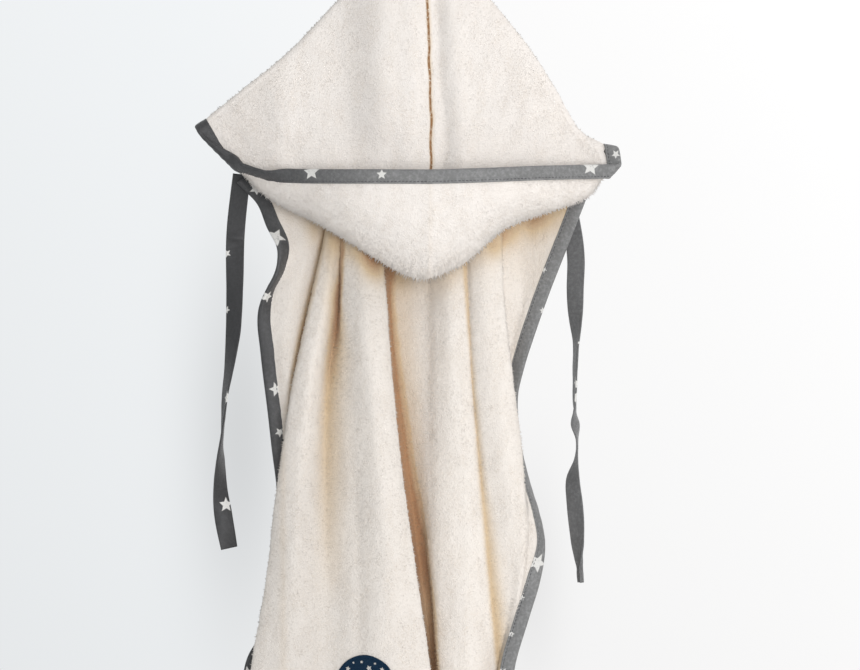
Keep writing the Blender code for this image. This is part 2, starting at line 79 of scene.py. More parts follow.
HOOD_RIGHT = (
    (0.0,      7, -244.7,    5.6, -323.6, 61, 100,      0,  -22.0),
    (0.2,     37, -243.9,   36.0, -308.7, 60,  98,     26,  -54.0),
    (0.4,     67, -242.7,   66.0, -283.0, 58,  92,     55,  -90.0),
    (0.6,     97, -241.2,   97.0, -270.0, 54,  79,     85, -127.0),
    (0.8,    127, -240.2,  127.0, -259.6, 49,  62,    111, -167.0),
    (0.9,    142, -239.8,  142.0, -252.0, 46,  53,  130.5, -200.0),
    (1.0,  156.9, -239.2,  156.8, -240.4, 42,  46,  153.5, -213.8),
)
LEVELS = (-271, -342, -408, -466, -516, -582, -649, -757)
FOLDS = (
    # name          neck_x  x at LEVELS                                     f at LEVELS                        hem_z
    ("edge_left",     -146, None,                                           None,                              -707),
    ("panel_1",       -118, None,                                           (28, 30, 28, 22, 18, 17, 14, 12),  -730),
    ("valley_a",        -86, (-74, -86, -98, -103, -100, -102, -110, -108),  (25, 22, 18, 17, 18, 19, 20, 23),  -750),
    ("ridge_a",        -80, (-77, -92, -106, -115, -122, -130, -142, -147), (34, 38, 40, 40, 38, 34, 32, 34),  -750),
    ("pleat_2",        -64, (-71, -81, -94, -101, -105, -110, -114, -116),  (40, 46, 50, 52, 52, 52, 52, 50),  -759),
    ("valley_b",       -52, (-66, -68.5, -78, -80.5, -80, -79, -80, -82),       (38.5, 35, 33.5, 37, 41, 46, 50, 50),  -762),
    ("ridge_b",        -46, (-66, -66, -64, -61, -58, -56, -58, -60),       (38, 42, 46, 50, 54, 58, 60, 60),  -765),
    ("pleat_3",        -30, (-50, -48, -43, -37, -32, -28, -26, -24),       (47, 55, 61, 66, 70, 72, 74, 74),  -767),
    ("ridge_c",        -17, (-36, -31, -26, -20.2, -13.5, -4, 5.5, 15),           (40, 48, 52, 56, 60, 62, 64, 64),  -762),
    ("return_c",       -14, (-37.5, -33.5, -29.5, -25, -18.5, -9, 1.5, 10),           (28, 34, 38, 40, 42, 44, 46, 46),  -757),
    ("valley_c",       -10, (-29, -28, -22.5, -15.5, -8.5, 0, 8.5, 19),           (17, 16, 16, 18, 18, 20, 22, 24),  -754),
    ("floor_left",      -6, (-23, -24.5, -18, -9.5, -2, 7, 14, 23),       (15, 15, 16, 18, 21, 26, 33, 34),  -749),
    ("floor_right",      6, (4, 4.5, 5, 5.5, 6.5, 9.5, 14, 24.5),           (21, 24, 27, 30, 34, 39, 44, 43),  -744),
    ("ridge_d",          9, (12.5, 13, 13.5, 14, 15, 16, 17, 27.5),         (27, 31.5, 35, 37, 41, 44.5, 47.5, 46.5),  -739),
    ("pleat_4",         16, (23, 24, 26.5, 31, 34, 37, 40.5, 48),           (33, 38, 42, 44, 47, 50, 53, 53),  -729),
    ("ridge_e",         25, (33, 36, 38.5, 43, 48, 53.5, 59, 56),             (32, 36, 38, 40, 42, 42, 42, 38),  -712),
    ("valley_e",        28, (36, 39, 41.5, 46.8, 51.8, 57.8, 62.5, 63.5),       (30.5, 34, 36, 37.5, 39.5, 40, 43, 40.5),  -702),
    ("pleat_5",         33, (40, 43.5, 47, 53, 58.5, 64, 64.5, 62.8),       (35, 38.5, 40.5, 42, 42.5, 41.5, 43.8, 42),  -694),
    ("crest_5",         46, (52, 56, 62, 69, 74, 75, 64.3, 62),             (40, 42.5, 44.5, 45, 45.5, 43.5, 45, 45),  -688),
    ("ridge_f",         62, (65, 67, 74.5, 81.5, 84, 80.5, 64.2, 61.5),     (36, 38, 38, 38, 44, 46, 47.5, 48.5), -683),
    ("return_f",        66, (62, 64, 71.5, 78, 86, 82, 64.3, 61.3),         (27, 27, 27, 27, 41, 45.5, 49.8, 51), -680),
    ("panel_6",         98, (94, 81, 70.5, 70.5, 87, 83, 64.8, 61.5),       (19, 19, 19, 19, 38, 45, 52, 53.5), -676),
    ("edge_right",     127, None,                                           None,                              -672),
)
# The body's side edges: where the binding is sewn, and its free edge.
EDGE_COLUMNS = ("z", "sewn_x", "sewn_f", "free_x", "free_f")
EDGE_LEFT = (
    (-238, -146, 22.8, -155, 23.5),
    (-253, -131, 26,   -139, 24),
    (-276, -120, 30,   -130, 29),
    (-296, -112, 33,   -119.5, 39),
    (-315, -115, 31,   -121, 41),
    (-334, -124, 26,   -128, 34),
    (-355, -127, 24,   -136, 27),
    (-383, -125, 24,   -135, 24),
    (-423, -120, 23,   -130, 24),
    (-464, -115, 18,   -125, 19),
    (-499, -111, 14,   -120, 14),
    (-545, -111, 13,   -121, 13),
    (-590, -115, 13.5, -125, 13),
    (-624, -124, 14.5, -134, 14),
    (-640, -135, 15.5, -145, 15),
    (-674, -139, 16.5, -149, 16),
    (-707, -134, 17.5, -143, 17),
)
EDGE_RIGHT = (
    (-255,  127, 22.8,  138, 24),
    (-278,  118, 24,    130, 26),
    (-311,  105, 24,    118, 26),
    (-349,   91, 23,    101, 26),
    (-393,   77, 20,     86, 25),
    (-420,   71, 16,     77, 20),
    (-458, 71.5, 15.5, 80.5, 13.5),
    (-493,   84, 27,   89.5, 17),
    (-517, 91.5, 36,     97, 26),
    (-541,   96, 42,  101.5, 33),
    (-571,   89, 44,     98, 42),
    (-603,   79, 48,     92, 50),
    (-648,   66, 53.6,   79, 54.5),
    (-672, 64.8, 54.5,   76, 56),
)
# Ties: z, middle x, f, and how far the strip has turned out of the wall's plane, degrees.
TIE_COLUMNS = ("z", "x", "f", "turn")
TIE_LEFT = (
    (-236.5, -149.3, 19.5, 15),
    (-287, -154.5, 18, 3),
    (-331, -155.2, 18, 22),
    (-371, -156.6, 20, 38),
    (-396, -159.6, 21, 58),
    (-424, -163.6, 22, 74),
    (-456, -166.2, 22, 92),
    (-480, -167.0, 22, 118),
    (-503, -166.8, 21, 142),
    (-523, -164.3, 20, 168),
    (-549, -159.6, 19, 152),
)
TIE_RIGHT = (
    (-262,  121.0, 17.0, 8),
    (-275,  124.0, 16.5, 12),
    (-292,  127.0, 16.5, 15),
    (-306,  128.3, 17.0, 18),
    (-333,  127.8, 17.0, 24),
    (-353,  128.0, 18.0, 40),
    (-376,  128.3, 20.0, 72),
    (-406,  127.4, 20.0, 80),
    (-435,  126.8, 20.0, 96),
    (-445,  127.6, 20.0, 118),
    (-456,  129.0, 20.0, 98),
    (-474,  128.2, 20.0, 84),
    (-492,  125.8, 20.0, 44),
    (-512,  127.4, 19.0, 30),
    (-544,  129.6, 19.0, 48),
    (-567,  130.0, 19.0, 74),
    (-578,  130.8, 19.0, 80),
)



# ---------------------------------------------------------------- curves through the tables
def smooth(at, values, where):
    """A cubic through a table's rows, its slope at each row taken from the rows beside it."""
    at, values = np.asarray(at, float), np.asarray(values, float)
    if at[0] > at[-1]:
        at, values = at[::-1], values[::-1]
    slope = np.gradient(values, at)
    where = np.clip(where, at[0], at[-1])
    i = np.clip(np.searchsorted(at, where) - 1, 0, len(at) - 2)
    step = at[i + 1] - at[i]
    t = (where - at[i]) / step
    return (values[i] * (1 + 2 * t) * (1 - t) ** 2 + values[i + 1] * t * t * (3 - 2 * t)
            + step * t * (1 - t) * (slope[i] * (1 - t) - slope[i + 1] * t))


def read(table, columns, name, where):
    rows = np.array(table, float)
    return smooth(rows[:, 0], rows[:, columns.index(name)], where)


def step_up(value, low, high):
    t = np.clip((np.asarray(value, float) - low) / (high - low), 0, 1)
    return t * t * (3 - 2 * t)


def neck_z(x):
    x = np.asarray(x, float)
    corner_x = np.where(x < 0, NECK_LEFT[0], NECK_RIGHT[0])
    corner_z = np.where(x < 0, NECK_LEFT[1], NECK_RIGHT[1])
    fall = (NECK_TOP - corner_z) / (np.hypot(corner_x, NECK_ROUND) - NECK_ROUND)
    return NECK_TOP - fall * (np.hypot(x, NECK_ROUND) - NECK_ROUND)


def neck_f(x):
    x = np.asarray(x, float)
    corner_x = np.where(x < 0, NECK_LEFT[0], NECK_RIGHT[0])
    return NECK_F[0] + (NECK_F[1] - NECK_F[0]) * np.abs(x / corner_x)


def unit(vectors):
    return vectors / np.maximum(np.linalg.norm(vectors, axis=-1, keepdims=True), 1e-9)


def noise(u, v, cell, seed):
    """Smooth noise from -1 to 1 over a plane of millimetres, its lumps about cell across."""
    grid = np.random.default_rng(seed).random((128, 128)) * 2 - 1
    x, y = np.asarray(u, float) / cell, np.asarray(v, float) / cell
    i, j = np.floor(x).astype(int), np.floor(y).astype(int)
    s, t = x - i, y - j
    s, t = s * s * (3 - 2 * s), t * t * (3 - 2 * t)
    i, j, k, m = i % 128, j % 128, (i + 1) % 128, (j + 1) % 128
    return ((grid[i, j] * (1 - s) + grid[k, j] * s) * (1 - t)
            + (grid[i, m] * (1 - s) + grid[k, m] * s) * t)


def blurred(values, times):
    """Values along the first axis, each averaged with its neighbours, the ends kept."""
    values = np.array(values, float)
    for _ in range(times):
        values[1:-1] = (values[:-2] + 2 * values[1:-1] + values[2:]) / 4
    return values


def lengths_along(points):
    steps = np.linalg.norm(np.diff(points, axis=0), axis=-1)
    return np.concatenate([np.zeros((1,) + steps.shape[1:]), np.cumsum(steps, axis=0)])


def spaced(points, step, *others):
    """A line of points read again at even spacing, and what goes with each point."""
    along = lengths_along(points)
    where = np.linspace(0, along[-1], max(2, int(round(along[-1] / step)) + 1))
    out = []
    for values in (points,) + others:
        values = np.asarray(values, float).reshape(len(points), -1)
        out.append(np.stack([np.interp(where, along, column) for column in values.T], axis=1))
    return [where] + out


# ---------------------------------------------------------------- cape body
FOLD_NAMES = [row[0] for row in FOLDS]


def body_lines(z):
    """x and f of every fold line at each height, and the knots of the curves through them."""
    xs, fs = [], []
    for name, top_x, line_x, line_f, _ in FOLDS:
        top = float(neck_z(top_x))
        if name.startswith("edge"):
            edge = EDGE_LEFT if name == "edge_left" else EDGE_RIGHT
            xs.append(read(edge, EDGE_COLUMNS, "sewn_x", z))
            fs.append(read(edge, EDGE_COLUMNS, "sewn_f", z))
            continue
        xs.append(None if line_x is None else smooth((top,) + LEVELS, (top_x,) + line_x, z))
        fs.append(smooth((top,) + LEVELS, (float(neck_f(top_x)),) + line_f, z))
    xs[1] = xs[0] + 0.45 * (xs[2] - xs[0])
    lines = np.stack([np.array(xs), np.array(fs)], axis=-1).transpose(1, 0, 2)
    spans = np.sqrt(np.linalg.norm(np.diff(lines, axis=1), axis=2)) + 0.4
    knots = np.concatenate([np.zeros((len(z), 1)), np.cumsum(spans, axis=1)], axis=1)
    return lines, knots


def body_surface(folds, z_levels):
    """(levels, folds, 2): x and f of the body on every fold number at every level."""
    lines, knots = body_lines(z_levels)
    before, after = np.diff(knots, axis=1)[:, :-1, None], np.diff(knots, axis=1)[:, 1:, None]
    rise = np.diff(lines, axis=1)
    slopes = np.empty_like(lines)
    slopes[:, 1:-1] = (before ** 2 * lines[:, 2:] + (after ** 2 - before ** 2) * lines[:, 1:-1]
                       - after ** 2 * lines[:, :-2]) / (before * after * (before + after))
    slopes[:, 0], slopes[:, -1] = rise[:, 0] / before[:, 0], rise[:, -1] / after[:, -1]
    i = np.clip(folds.astype(int), 0, len(FOLDS) - 2)
    t = (folds - i)[None, :, None]
    step = np.diff(knots, axis=1)[:, i, None]
    return (lines[:, i] * (1 + 2 * t) * (1 - t) ** 2 + lines[:, i + 1] * t * t * (3 - 2 * t)
            + step * t * (1 - t) * (slopes[:, i] * (1 - t) - slopes[:, i + 1] * t))


def body_columns(count):
    """Fold numbers of the grid's columns, spread by the cloth's own width between folds."""
    fine = np.linspace(0, len(FOLDS) - 1, 2201)
    z = np.linspace(-230, -690, 24)
    surface = body_surface(fine, z)
    along = np.linalg.norm(np.diff(surface, axis=1), axis=2).mean(axis=0) + 0.035
    total = np.concatenate([[0], np.cumsum(along)])
    return np.interp(np.linspace(0, total[-1], count), total, fine)


def body_grid(columns, rows):
    """(rows, columns, 3) points (x, f, z) of the body's middle, neckline to hem."""
    folds = body_columns(columns)
    numbers = np.arange(len(FOLDS))
    top_x = np.interp(folds, numbers, [row[1] for row in FOLDS])
    hem = smooth(numbers, [row[4] for row in FOLDS], folds)
    top = neck_z(top_x) - 0.3
    z = top + (hem - top) * np.linspace(0, 1, rows)[:, None]
    levels = np.linspace(-20, -775, 400)
    surface = body_surface(folds, levels)
    grid = np.empty((rows, columns, 3))
    for j in range(columns):
        for k in range(2):
            grid[:, j, k] = np.interp(-z[:, j], -levels, surface[:, j, k])
    grid[..., 2] = z
    blend = step_up(top - z, 0, 45)
    inside = np.clip(np.minimum(folds, len(FOLDS) - 1 - folds) / 2, 0, 1)
    blend = 1 - (1 - blend) * inside
    grid[..., 0] = top_x + (grid[..., 0] - top_x) * blend
    grid[..., 1] = neck_f(top_x) + (grid[..., 1] - neck_f(top_x)) * blend
    return grid, folds


# Soft troughs (depth over 0) and ridges in the hanging cloth: the line's top and bottom x
# and z, how far the cloth moves, the half width, and the folds between which it lies.
CREASE_COLUMNS = ("top_x", "top_z", "low_x", "low_z", "depth", "half_width", "first", "last")
BODY_CREASES = (
    (-60.0, -470, -55.0, -640, 2.1, 8, "ridge_b", "ridge_c"),
    (-44.0, -330, -20.0, -610, -1.2, 9, "ridge_b", "ridge_c"),
    (-30.0, -255, -34.0, -330, 2.4, 9, "ridge_b", "ridge_c"),
    (-102.0, -262, -108.0, -330, 1.5, 6, "edge_left", "ridge_a"),
    (-100.0, -400, -108.0, -520, 1.2, 9, "ridge_a", "valley_b"),
    (-120.0, -520, -131.0, -690, 1.4, 12, "ridge_a", "valley_b"),
    (-97.0, -560, -99.0, -700, -1.0, 10, "pleat_2", "ridge_b"),
    (-11.0, -520, 3.0, -740, 0.9, 9, "ridge_b", "ridge_c"),
    (2.0, -330, 6.0, -560, 0.8, 7, "floor_left", "ridge_d"),
    (24.0, -350, 36.0, -600, 1.0, 7, "ridge_d", "ridge_e"),
    (33.0, -560, 46.0, -720, -1.0, 8, "ridge_d", "ridge_e"),
    (58.0, -300, 66.0, -420, 1.0, 7, "pleat_5", "ridge_f"),
    (66.0, -430, 74.0, -560, -1.1, 9, "pleat_5", "ridge_f"),
    (86.0, -250, 76.0, -330, 1.6, 8, "return_f", "edge_right"),
    (104.0, -272, 92.0, -330, -1.0, 8, "return_f", "edge_right"),
    (-84.0, -640, -80.0, -745, 1.3, 12, "pleat_2", "pleat_3"),
    (-28.0, -650, -20.0, -750, 1.1, 11, "ridge_b", "ridge_c"),
)


# Creases that keep to a fold's own line: the fold, how far beside it, top and bottom z, depth,
# half width, and the folds between which it lies.
FOLD_CREASES = (
    ("valley_b",  0.0, -310, -590,  2.2, 5.0, "pleat_2", "ridge_b"),
    ("valley_a",  0.5, -262, -470,  1.2, 3.0, "panel_1", "ridge_a"),
    ("ridge_a",  -1.0, -280, -520, -1.4, 5.0, "valley_a", "pleat_2"),
)


def creased(grid, folds):
    """The body with its creases, and the slight unevenness of cloth that hangs by one point."""
    levels = np.linspace(-20, -775, 300)
    lines = body_lines(levels)[0][:, :, 0]
    for fold, aside, top_z, low_z, depth, half, first, last in FOLD_CREASES:
        low, high = FOLD_NAMES.index(first), FOLD_NAMES.index(last)
        here = step_up(folds, low, low + 0.3) * (1 - step_up(folds, high - 0.3, high))
        line = np.interp(-grid[..., 2], -levels, lines[:, FOLD_NAMES.index(fold)]) + aside
        share = (grid[..., 2] - top_z) / (low_z - top_z)
        ends = step_up(share, -0.08, 0.15) * (1 - step_up(share, 0.6, 1.1))
        uneven = 1 + 0.25 * noise(grid[..., 2], grid[..., 2] * 0 + 3, 30, 6)
        grid[..., 1] -= depth * uneven * np.exp(-((grid[..., 0] - line) / half) ** 2) * ends * here
    for top_x, top_z, low_x, low_z, depth, half, first, last in BODY_CREASES:
        low, high = FOLD_NAMES.index(first), FOLD_NAMES.index(last)
        here = step_up(folds, low - 0.02, low + 0.3) * (1 - step_up(folds, high - 0.3, high + 0.02))
        share = (grid[..., 2] - top_z) / (low_z - top_z)
        across = grid[..., 0] - (top_x + (low_x - top_x) * share)
        ends = step_up(share, -0.12, 0.3) * (1 - step_up(share, 0.7, 1.12))
        grid[..., 1] -= depth * np.exp(-(across / half) ** 2) * ends * here
    width = lengths_along(grid.transpose(1, 0, 2)).T
    down = -grid[..., 2]
    open_cloth = step_up(down, 60, 200)
    sway = 0.9 * noise(width, down, 46, 3) + 0.55 * noise(width * 1.2, down * 0.5, 22, 4)
    grid[..., 1] += sway * open_cloth
    grid[..., 0] += 0.45 * noise(width * 0.4, down * 0.8, 34, 5) * open_cloth
    return grid, width, down


# ---------------------------------------------------------------- hood
# Where the side of the hood is folded over at its points, the cloth reaches under the binding.
HOOD_ENDS = {-1: {"crown_x": -178.0, "crown_z": -191.0}, 1: {"crown_x": 152.5, "crown_z": -213.5}}
HOOD_CREASE_COLUMNS = ("at", "share_from", "share_to", "depth", "half_width_at")
HOOD_CREASES = {
    -1: ((0.09, 0.30, 1.00, -1.6, 0.05), (0.19, 0.25, 0.85, 1.5, 0.06), (0.30, 0.25, 0.80, 1.1, 0.07), (0.47, 0.20, 0.72, -0.8, 0.08),
         (0.62, 0.30, 0.85, 1.0, 0.06), (0.78, 0.45, 0.95, 0.9, 0.05)),
    1: ((0.065, 0.15, 1.05, 3.0, 0.045), (0.17, 0.25, 0.95, -1.2, 0.05), (0.20, 0.30, 0.90, -1.0, 0.07), (0.42, 0.25, 0.80, 0.8, 0.08),
        (0.60, 0.35, 0.90, -0.8, 0.07), (0.80, 0.30, 0.80, 1.1, 0.05)),
}


def hood_grid(table, side, columns, near_rows, far_rows, arc_rows, flap_rows):
    """(rows, columns, 3) points of one hood panel, centre seam outwards. The rows run from
    the face edge down the outside of the pouch, up the inside of the hood's back, over the
    fold at its sloping side and down to the neckline. Also the row of the pouch's fold."""
    at = np.linspace(0, 1, columns) ** 0.94
    s = {name: read(table, HOOD_COLUMNS, name, at) for name in HOOD_COLUMNS[1:]}
    for name, value in HOOD_ENDS[side].items():
        s[name] = s[name] + (value - s[name][-1]) * step_up(at, 0.86, 1.0)
    corner = NECK_LEFT if side < 0 else NECK_RIGHT
    rise = s["crown_z"] - CROWN_TOP
    crown = np.stack([s["crown_x"], CROWN_TOP + rise * (1 - np.exp(-np.abs(rise) / 8.0))], axis=1)
    neck_x = corner[0] * at
    neck = np.stack([neck_x, neck_z(neck_x) + 0.3], axis=1)
    inward = unit(neck - crown)
    radius = (FOLD_ROUND[0] + (FOLD_ROUND[1] - FOLD_ROUND[0]) * at)[:, None]
    middle = crown + inward * radius
    middle_f = neck_f(neck_x)[:, None] + radius + 5.0 * at[:, None]
    rim = np.stack([s["rim_x"], s["rim_z"]], axis=1)
    bottom = np.stack([s["bottom_x"], s["bottom_z"]], axis=1)
    bottom_f, rim_f = s["bottom_f"][:, None], s["rim_f"][:, None]
    rows = []
    # The pouch's fold is round, with the radius of soft towelling.
    for share in np.linspace(1, 0, near_rows) ** 1.25:
        point = bottom + (rim - bottom) * share
        opening = (1 - (1 - share) ** 2.2) ** 0.7
        rows.append(np.concatenate([point[:, :1], bottom_f + (rim_f - bottom_f) * opening, point[:, 1:]], axis=1))
    for share in (np.linspace(0, 1, far_rows) ** 1.12)[1:]:
        point = bottom + (middle - bottom) * share
        bow = 4.2 * math.sin(math.pi * share) * (1 - at[:, None])
        belly = 5.0 * 4 * share * (1 - share) * (1 - at[:, None] ** 2)
        f = bottom_f + (middle_f + radius - bottom_f) * share + belly
        rows.append(np.concatenate([point[:, :1] + bow, f, point[:, 1:]], axis=1))
    for turn in np.linspace(0, math.pi, arc_rows)[1:]:
        point = middle - inward * radius * math.sin(turn)
        rows.append(np.concatenate([point[:, :1], middle_f + radius * math.cos(turn), point[:, 1:]], axis=1))
    for share in np.linspace(0, 1, flap_rows)[1:]:
        point = middle + (neck - middle) * share
        f = middle_f - radius + (neck_f(neck_x)[:, None] - middle_f + radius) * share
        rows.append(np.concatenate([point[:, :1], f, point[:, 1:]], axis=1))
    grid = np.array(rows)
    return grid, at, near_rows - 1, near_rows + far_rows - 2

# ---------------------------------------------------------------- meshes
SHOWN = bpy.data.collections.new("cape_looks")
bpy.context.scene.collection.children.link(SHOWN)


def world(grid):
    """(x, f, z) to the part's axes, still in millimetres."""
    grid = np.asarray(grid, float)
    return np.stack([grid[..., 0], -grid[..., 1], grid[..., 2]], axis=-1)


def facing(points):
    """Normals of a grid whose rows run down and whose columns run to the right."""
    return unit(np.cross(np.gradient(points, axis=0), np.gradient(points, axis=1)))


def add_piece(name, points, faces, finish, maps=None, values=None, sharp=None, flat=False, own=None):
    """A mesh object from millimetre points and arrays of faces. maps holds UV maps as values
    by point, or by face corner; values holds numbers by point."""
    data = bpy.data.meshes.new(name)
    faces = [np.asarray(group, np.int64) for group in faces if len(group)]
    data.vertices.add(len(points))
    data.vertices.foreach_set("co", (np.asarray(points, float) * 0.001).astype(np.float32).ravel())
    corners = np.concatenate([group.ravel() for group in faces])
    sizes = np.concatenate([np.full(len(group), group.shape[1]) for group in faces])
    data.loops.add(len(corners))
    data.loops.foreach_set("vertex_index", corners.astype(np.int32))
    data.polygons.add(len(sizes))
    data.polygons.foreach_set("loop_start", np.concatenate([[0], np.cumsum(sizes)[:-1]]).astype(np.int32))
    data.update(calc_edges=True)
    for label, coordinates in (maps or {}).items():
        coordinates = np.asarray(coordinates, float)
        if len(coordinates) == len(points):
            coordinates = coordinates[corners]
        layer = data.uv_layers.new(name=label)
        layer.data.foreach_set("uv", coordinates.astype(np.float32).ravel())
    for label, numbers in (values or {}).items():
        layer = data.attributes.new(label, "FLOAT", "POINT")
        layer.data.foreach_set("value", np.asarray(numbers, np.float32).ravel())
    data.validate()
    if flat:
        data.shade_flat()
    else:
        data.shade_smooth()
    if sharp:
        data.set_sharp_from_angle(angle=math.radians(sharp))
    if own is not None:
        data.normals_split_custom_set_from_vertices(own.tolist())
    data.materials.append(finish)
    made = bpy.data.objects.new(name, data)
    SHOWN.objects.link(made)
    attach(made, ROOT)
    return made


def grid_quads(rows, columns, start=0, flip=False):
    index = start + np.arange(rows * columns).reshape(rows, columns)
    a, b, c, d = index[:-1, :-1], index[1:, :-1], index[1:, 1:], index[:-1, 1:]
    order = (d, c, b, a) if flip else (a, b, c, d)
    return np.stack(order, axis=-1).reshape(-1, 4)


def rim_of(index):
    """The border of an index grid, once round."""
    return np.concatenate([index[:, 0], index[-1, 1:], index[-2::-1, -1], index[0, -2:0:-1]])


def sheet_faces(rows, columns, back_step=1):
    """Faces of a cloth with a front grid and a back grid, the back one coarser by back_step,
    and the rows and columns that the back keeps."""
    front = np.arange(rows * columns).reshape(rows, columns)
    kept_rows, kept_columns = np.arange(0, rows, back_step), np.arange(0, columns, back_step)
    back = rows * columns + np.arange(len(kept_rows) * len(kept_columns)).reshape(len(kept_rows), -1)
    faces = [grid_quads(rows, columns), grid_quads(*back.shape, start=rows * columns, flip=True)]
    fine, coarse = rim_of(front), rim_of(back)
    count = len(coarse)
    for k in range(back_step):
        here = fine[np.arange(count) * back_step + k]
        there = fine[(np.arange(count) * back_step + k + 1) % len(fine)]
        if k == 0:
            faces.append(np.stack([there, here, coarse], axis=1))
        else:
            faces.append(np.stack([there, here, np.roll(coarse, -1)], axis=1))
    faces.append(np.stack([fine[(np.arange(count) * back_step + 1) % len(fine)], coarse,
                           np.roll(coarse, -1)], axis=1))
    return faces, kept_rows, kept_columns


def cloth_piece(name, points, normals, across, down, finish, seed, back_step=1, values=None,
                pull=1.0):
    """Terry from a grid of its middle. Its faces stand half the wall off the middle, and are
    uneven at the size of its pile, less so where they go into a seam."""
    rows, columns = points.shape[:2]
    rim = np.minimum(np.minimum(np.arange(rows), np.arange(rows)[::-1])[:, None],
                     np.minimum(np.arange(columns), np.arange(columns)[::-1])[None, :])
    fade = np.clip(rim / 3.0, 0.25, 1)
    front = pull * TERRY / 2 + fade * (0.26 * noise(across, down, 5.6, seed) + 0.18 * noise(across, down, 3.1, seed + 1)
                                        + 0.24 * noise(across, down, 13, seed + 2))
    back = pull * TERRY / 2 + fade * (0.24 * noise(across, down, 6.2, seed + 3) + 0.24 * noise(across, down, 13, seed + 2))
    faces, kept_rows, kept_columns = sheet_faces(rows, columns, back_step)
    kept = np.ix_(kept_rows, kept_columns)
    behind = (points - normals * back[..., None])[kept].reshape(-1, 3)
    ahead = (points + normals * front[..., None]).reshape(-1, 3)
    flat = np.stack([across, -down], axis=-1) * 0.001
    lined = {label: np.concatenate([v.reshape(-1), w[kept].reshape(-1)]) for label, (v, w) in (values or {}).items()}
    return add_piece(name, np.concatenate([ahead, behind]), faces, finish,
                     {"cloth": np.concatenate([flat.reshape(-1, 2), flat[kept].reshape(-1, 2)])}, lined, sharp=62)


# ---------------------------------------------------------------- folded tape
# Across the tape from its sewn edge outwards: o is the way out from the sewn line and n the
# height over the cloth's middle. The dip is its line of stitches.
TAPE_SECTION = (
    (-1.1, 1.00), (-1.5, 1.35), (-1.2, 1.72), (-0.4, 1.80), (0.5, 1.56), (1.4, 1.84), (3.2, 2.00),
    (5.2, 2.05), (7.2, 2.00), (8.8, 1.86), (9.7, 1.50), (10.25, 0.85), (10.45, 0.0),
)
TIE_SECTION = (
    (-7.7, 0.0), (-7.55, 0.42), (-7.1, 0.68), (-6.2, 0.62), (-5.3, 0.78), (-3.0, 0.84), (0.0, 0.86),
    (3.0, 0.84), (5.3, 0.78), (6.2, 0.62), (7.1, 0.68), (7.55, 0.42), (7.7, 0.0),
)


def ring_of(section):
    """A closed ring of (o, n, v) round a flat strip, v running on round it."""
    front = [(o, n) for o, n in section]
    if front[0][1] == 0:
        back = [(o, -n) for o, n in front[1:-1]][::-1]
    else:
        back = [(o, -n) for o, n in front[:-1]][::-1]
    ring = np.array(front + back, float)
    wide = ring[len(front) - 1, 0]
    v = np.where(np.arange(len(ring)) < len(front), ring[:, 0], 2 * wide - ring[:, 0])
    return ring, v


def strip_points(middle, ring, rough=0.0, seed=0, step=1.6):
    """(stations, ring, 3) surface of a strip. middle(o) gives the points of the strip's middle
    surface at way out o, one a station."""
    lowest, highest = ring[:, 0].min(), ring[:, 0].max()
    outs = np.linspace(lowest, highest, 9)
    surface = np.stack([middle(o) for o in outs], axis=1)
    normal = unit(np.cross(np.gradient(surface, axis=1), np.gradient(surface, axis=0)))
    stations = np.arange(len(surface)) * step
    out = []
    for k, (o, n) in enumerate(ring):
        i = np.clip((o - lowest) / (highest - lowest) * 8, 0, 7.999)
        low, share = int(i), i - int(i)
        point = surface[:, low] * (1 - share) + surface[:, low + 1] * share
        way = unit(normal[:, low] * (1 - share) + normal[:, low + 1] * share)
        side = 1 if n >= 0 else -1
        lumps = rough * (noise(stations, np.full(len(stations), o), 7, seed) * 0.5
                         + noise(stations, np.full(len(stations), o * 0.6), 3.4, seed + 1) * 0.5)
        out.append(point + way * (n + side * lumps * min(1, abs(n)))[:, None])
    return np.stack(out, axis=1), normal[:, 4]


def strip_piece(name, points, v, along, finish, stars=()):
    """A closed strip with its flat coordinates in the map 'cloth', and in the map 'star' the
    place of each face beside the star that is printed there. A star is (u, v, radius, angle)."""
    stations, around = points.shape[:2]
    index = np.arange(stations * around).reshape(stations, around)
    after = np.roll(index, -1, axis=1)
    quads = np.stack([index[:-1], after[:-1], after[1:], index[1:]], axis=-1).reshape(-1, 4)
    next_v = np.append(v[1:], v[-1] + np.linalg.norm(points[0, -1] - points[0, 0]))
    u = np.broadcast_to(along[:, None], (stations, around))
    low, high = np.broadcast_to(v, (stations, around)), np.broadcast_to(next_v, (stations, around))
    uv = np.stack([np.stack([u[:-1], u[:-1], u[1:], u[1:]], axis=-1),
                   np.stack([low[:-1], high[:-1], high[1:], low[1:]], axis=-1)], axis=-1).reshape(-1, 4, 2)
    middle = uv.mean(axis=1)
    there = np.full(uv.shape, 4.0)
    for u0, v0, radius, angle in stars:
        near = np.hypot(middle[:, 0] - u0, middle[:, 1] - v0) < radius + 2.0
        turned = math.radians(angle)
        d = (uv[near] - (u0, v0)) / radius
        there[near] = np.stack([d[..., 0] * math.cos(turned) + d[..., 1] * math.sin(turned),
                                d[..., 1] * math.cos(turned) - d[..., 0] * math.sin(turned)], axis=-1)
    ends = np.stack([index[0][::-1], index[-1]])
    end_uv = np.stack([np.stack([along[[0, -1]][k] + 0 * v, v], axis=-1) for k in (0, 1)])
    end_uv[0] = end_uv[0][::-1]
    maps = {"cloth": np.concatenate([uv.reshape(-1, 2), end_uv.reshape(-1, 2)]) * 0.001,
            "star": np.concatenate([there.reshape(-1, 2), np.full((2 * around, 2), 4.0)])}
    return add_piece(name, points.reshape(-1, 3), [quads, ends], finish, maps, sharp=70)


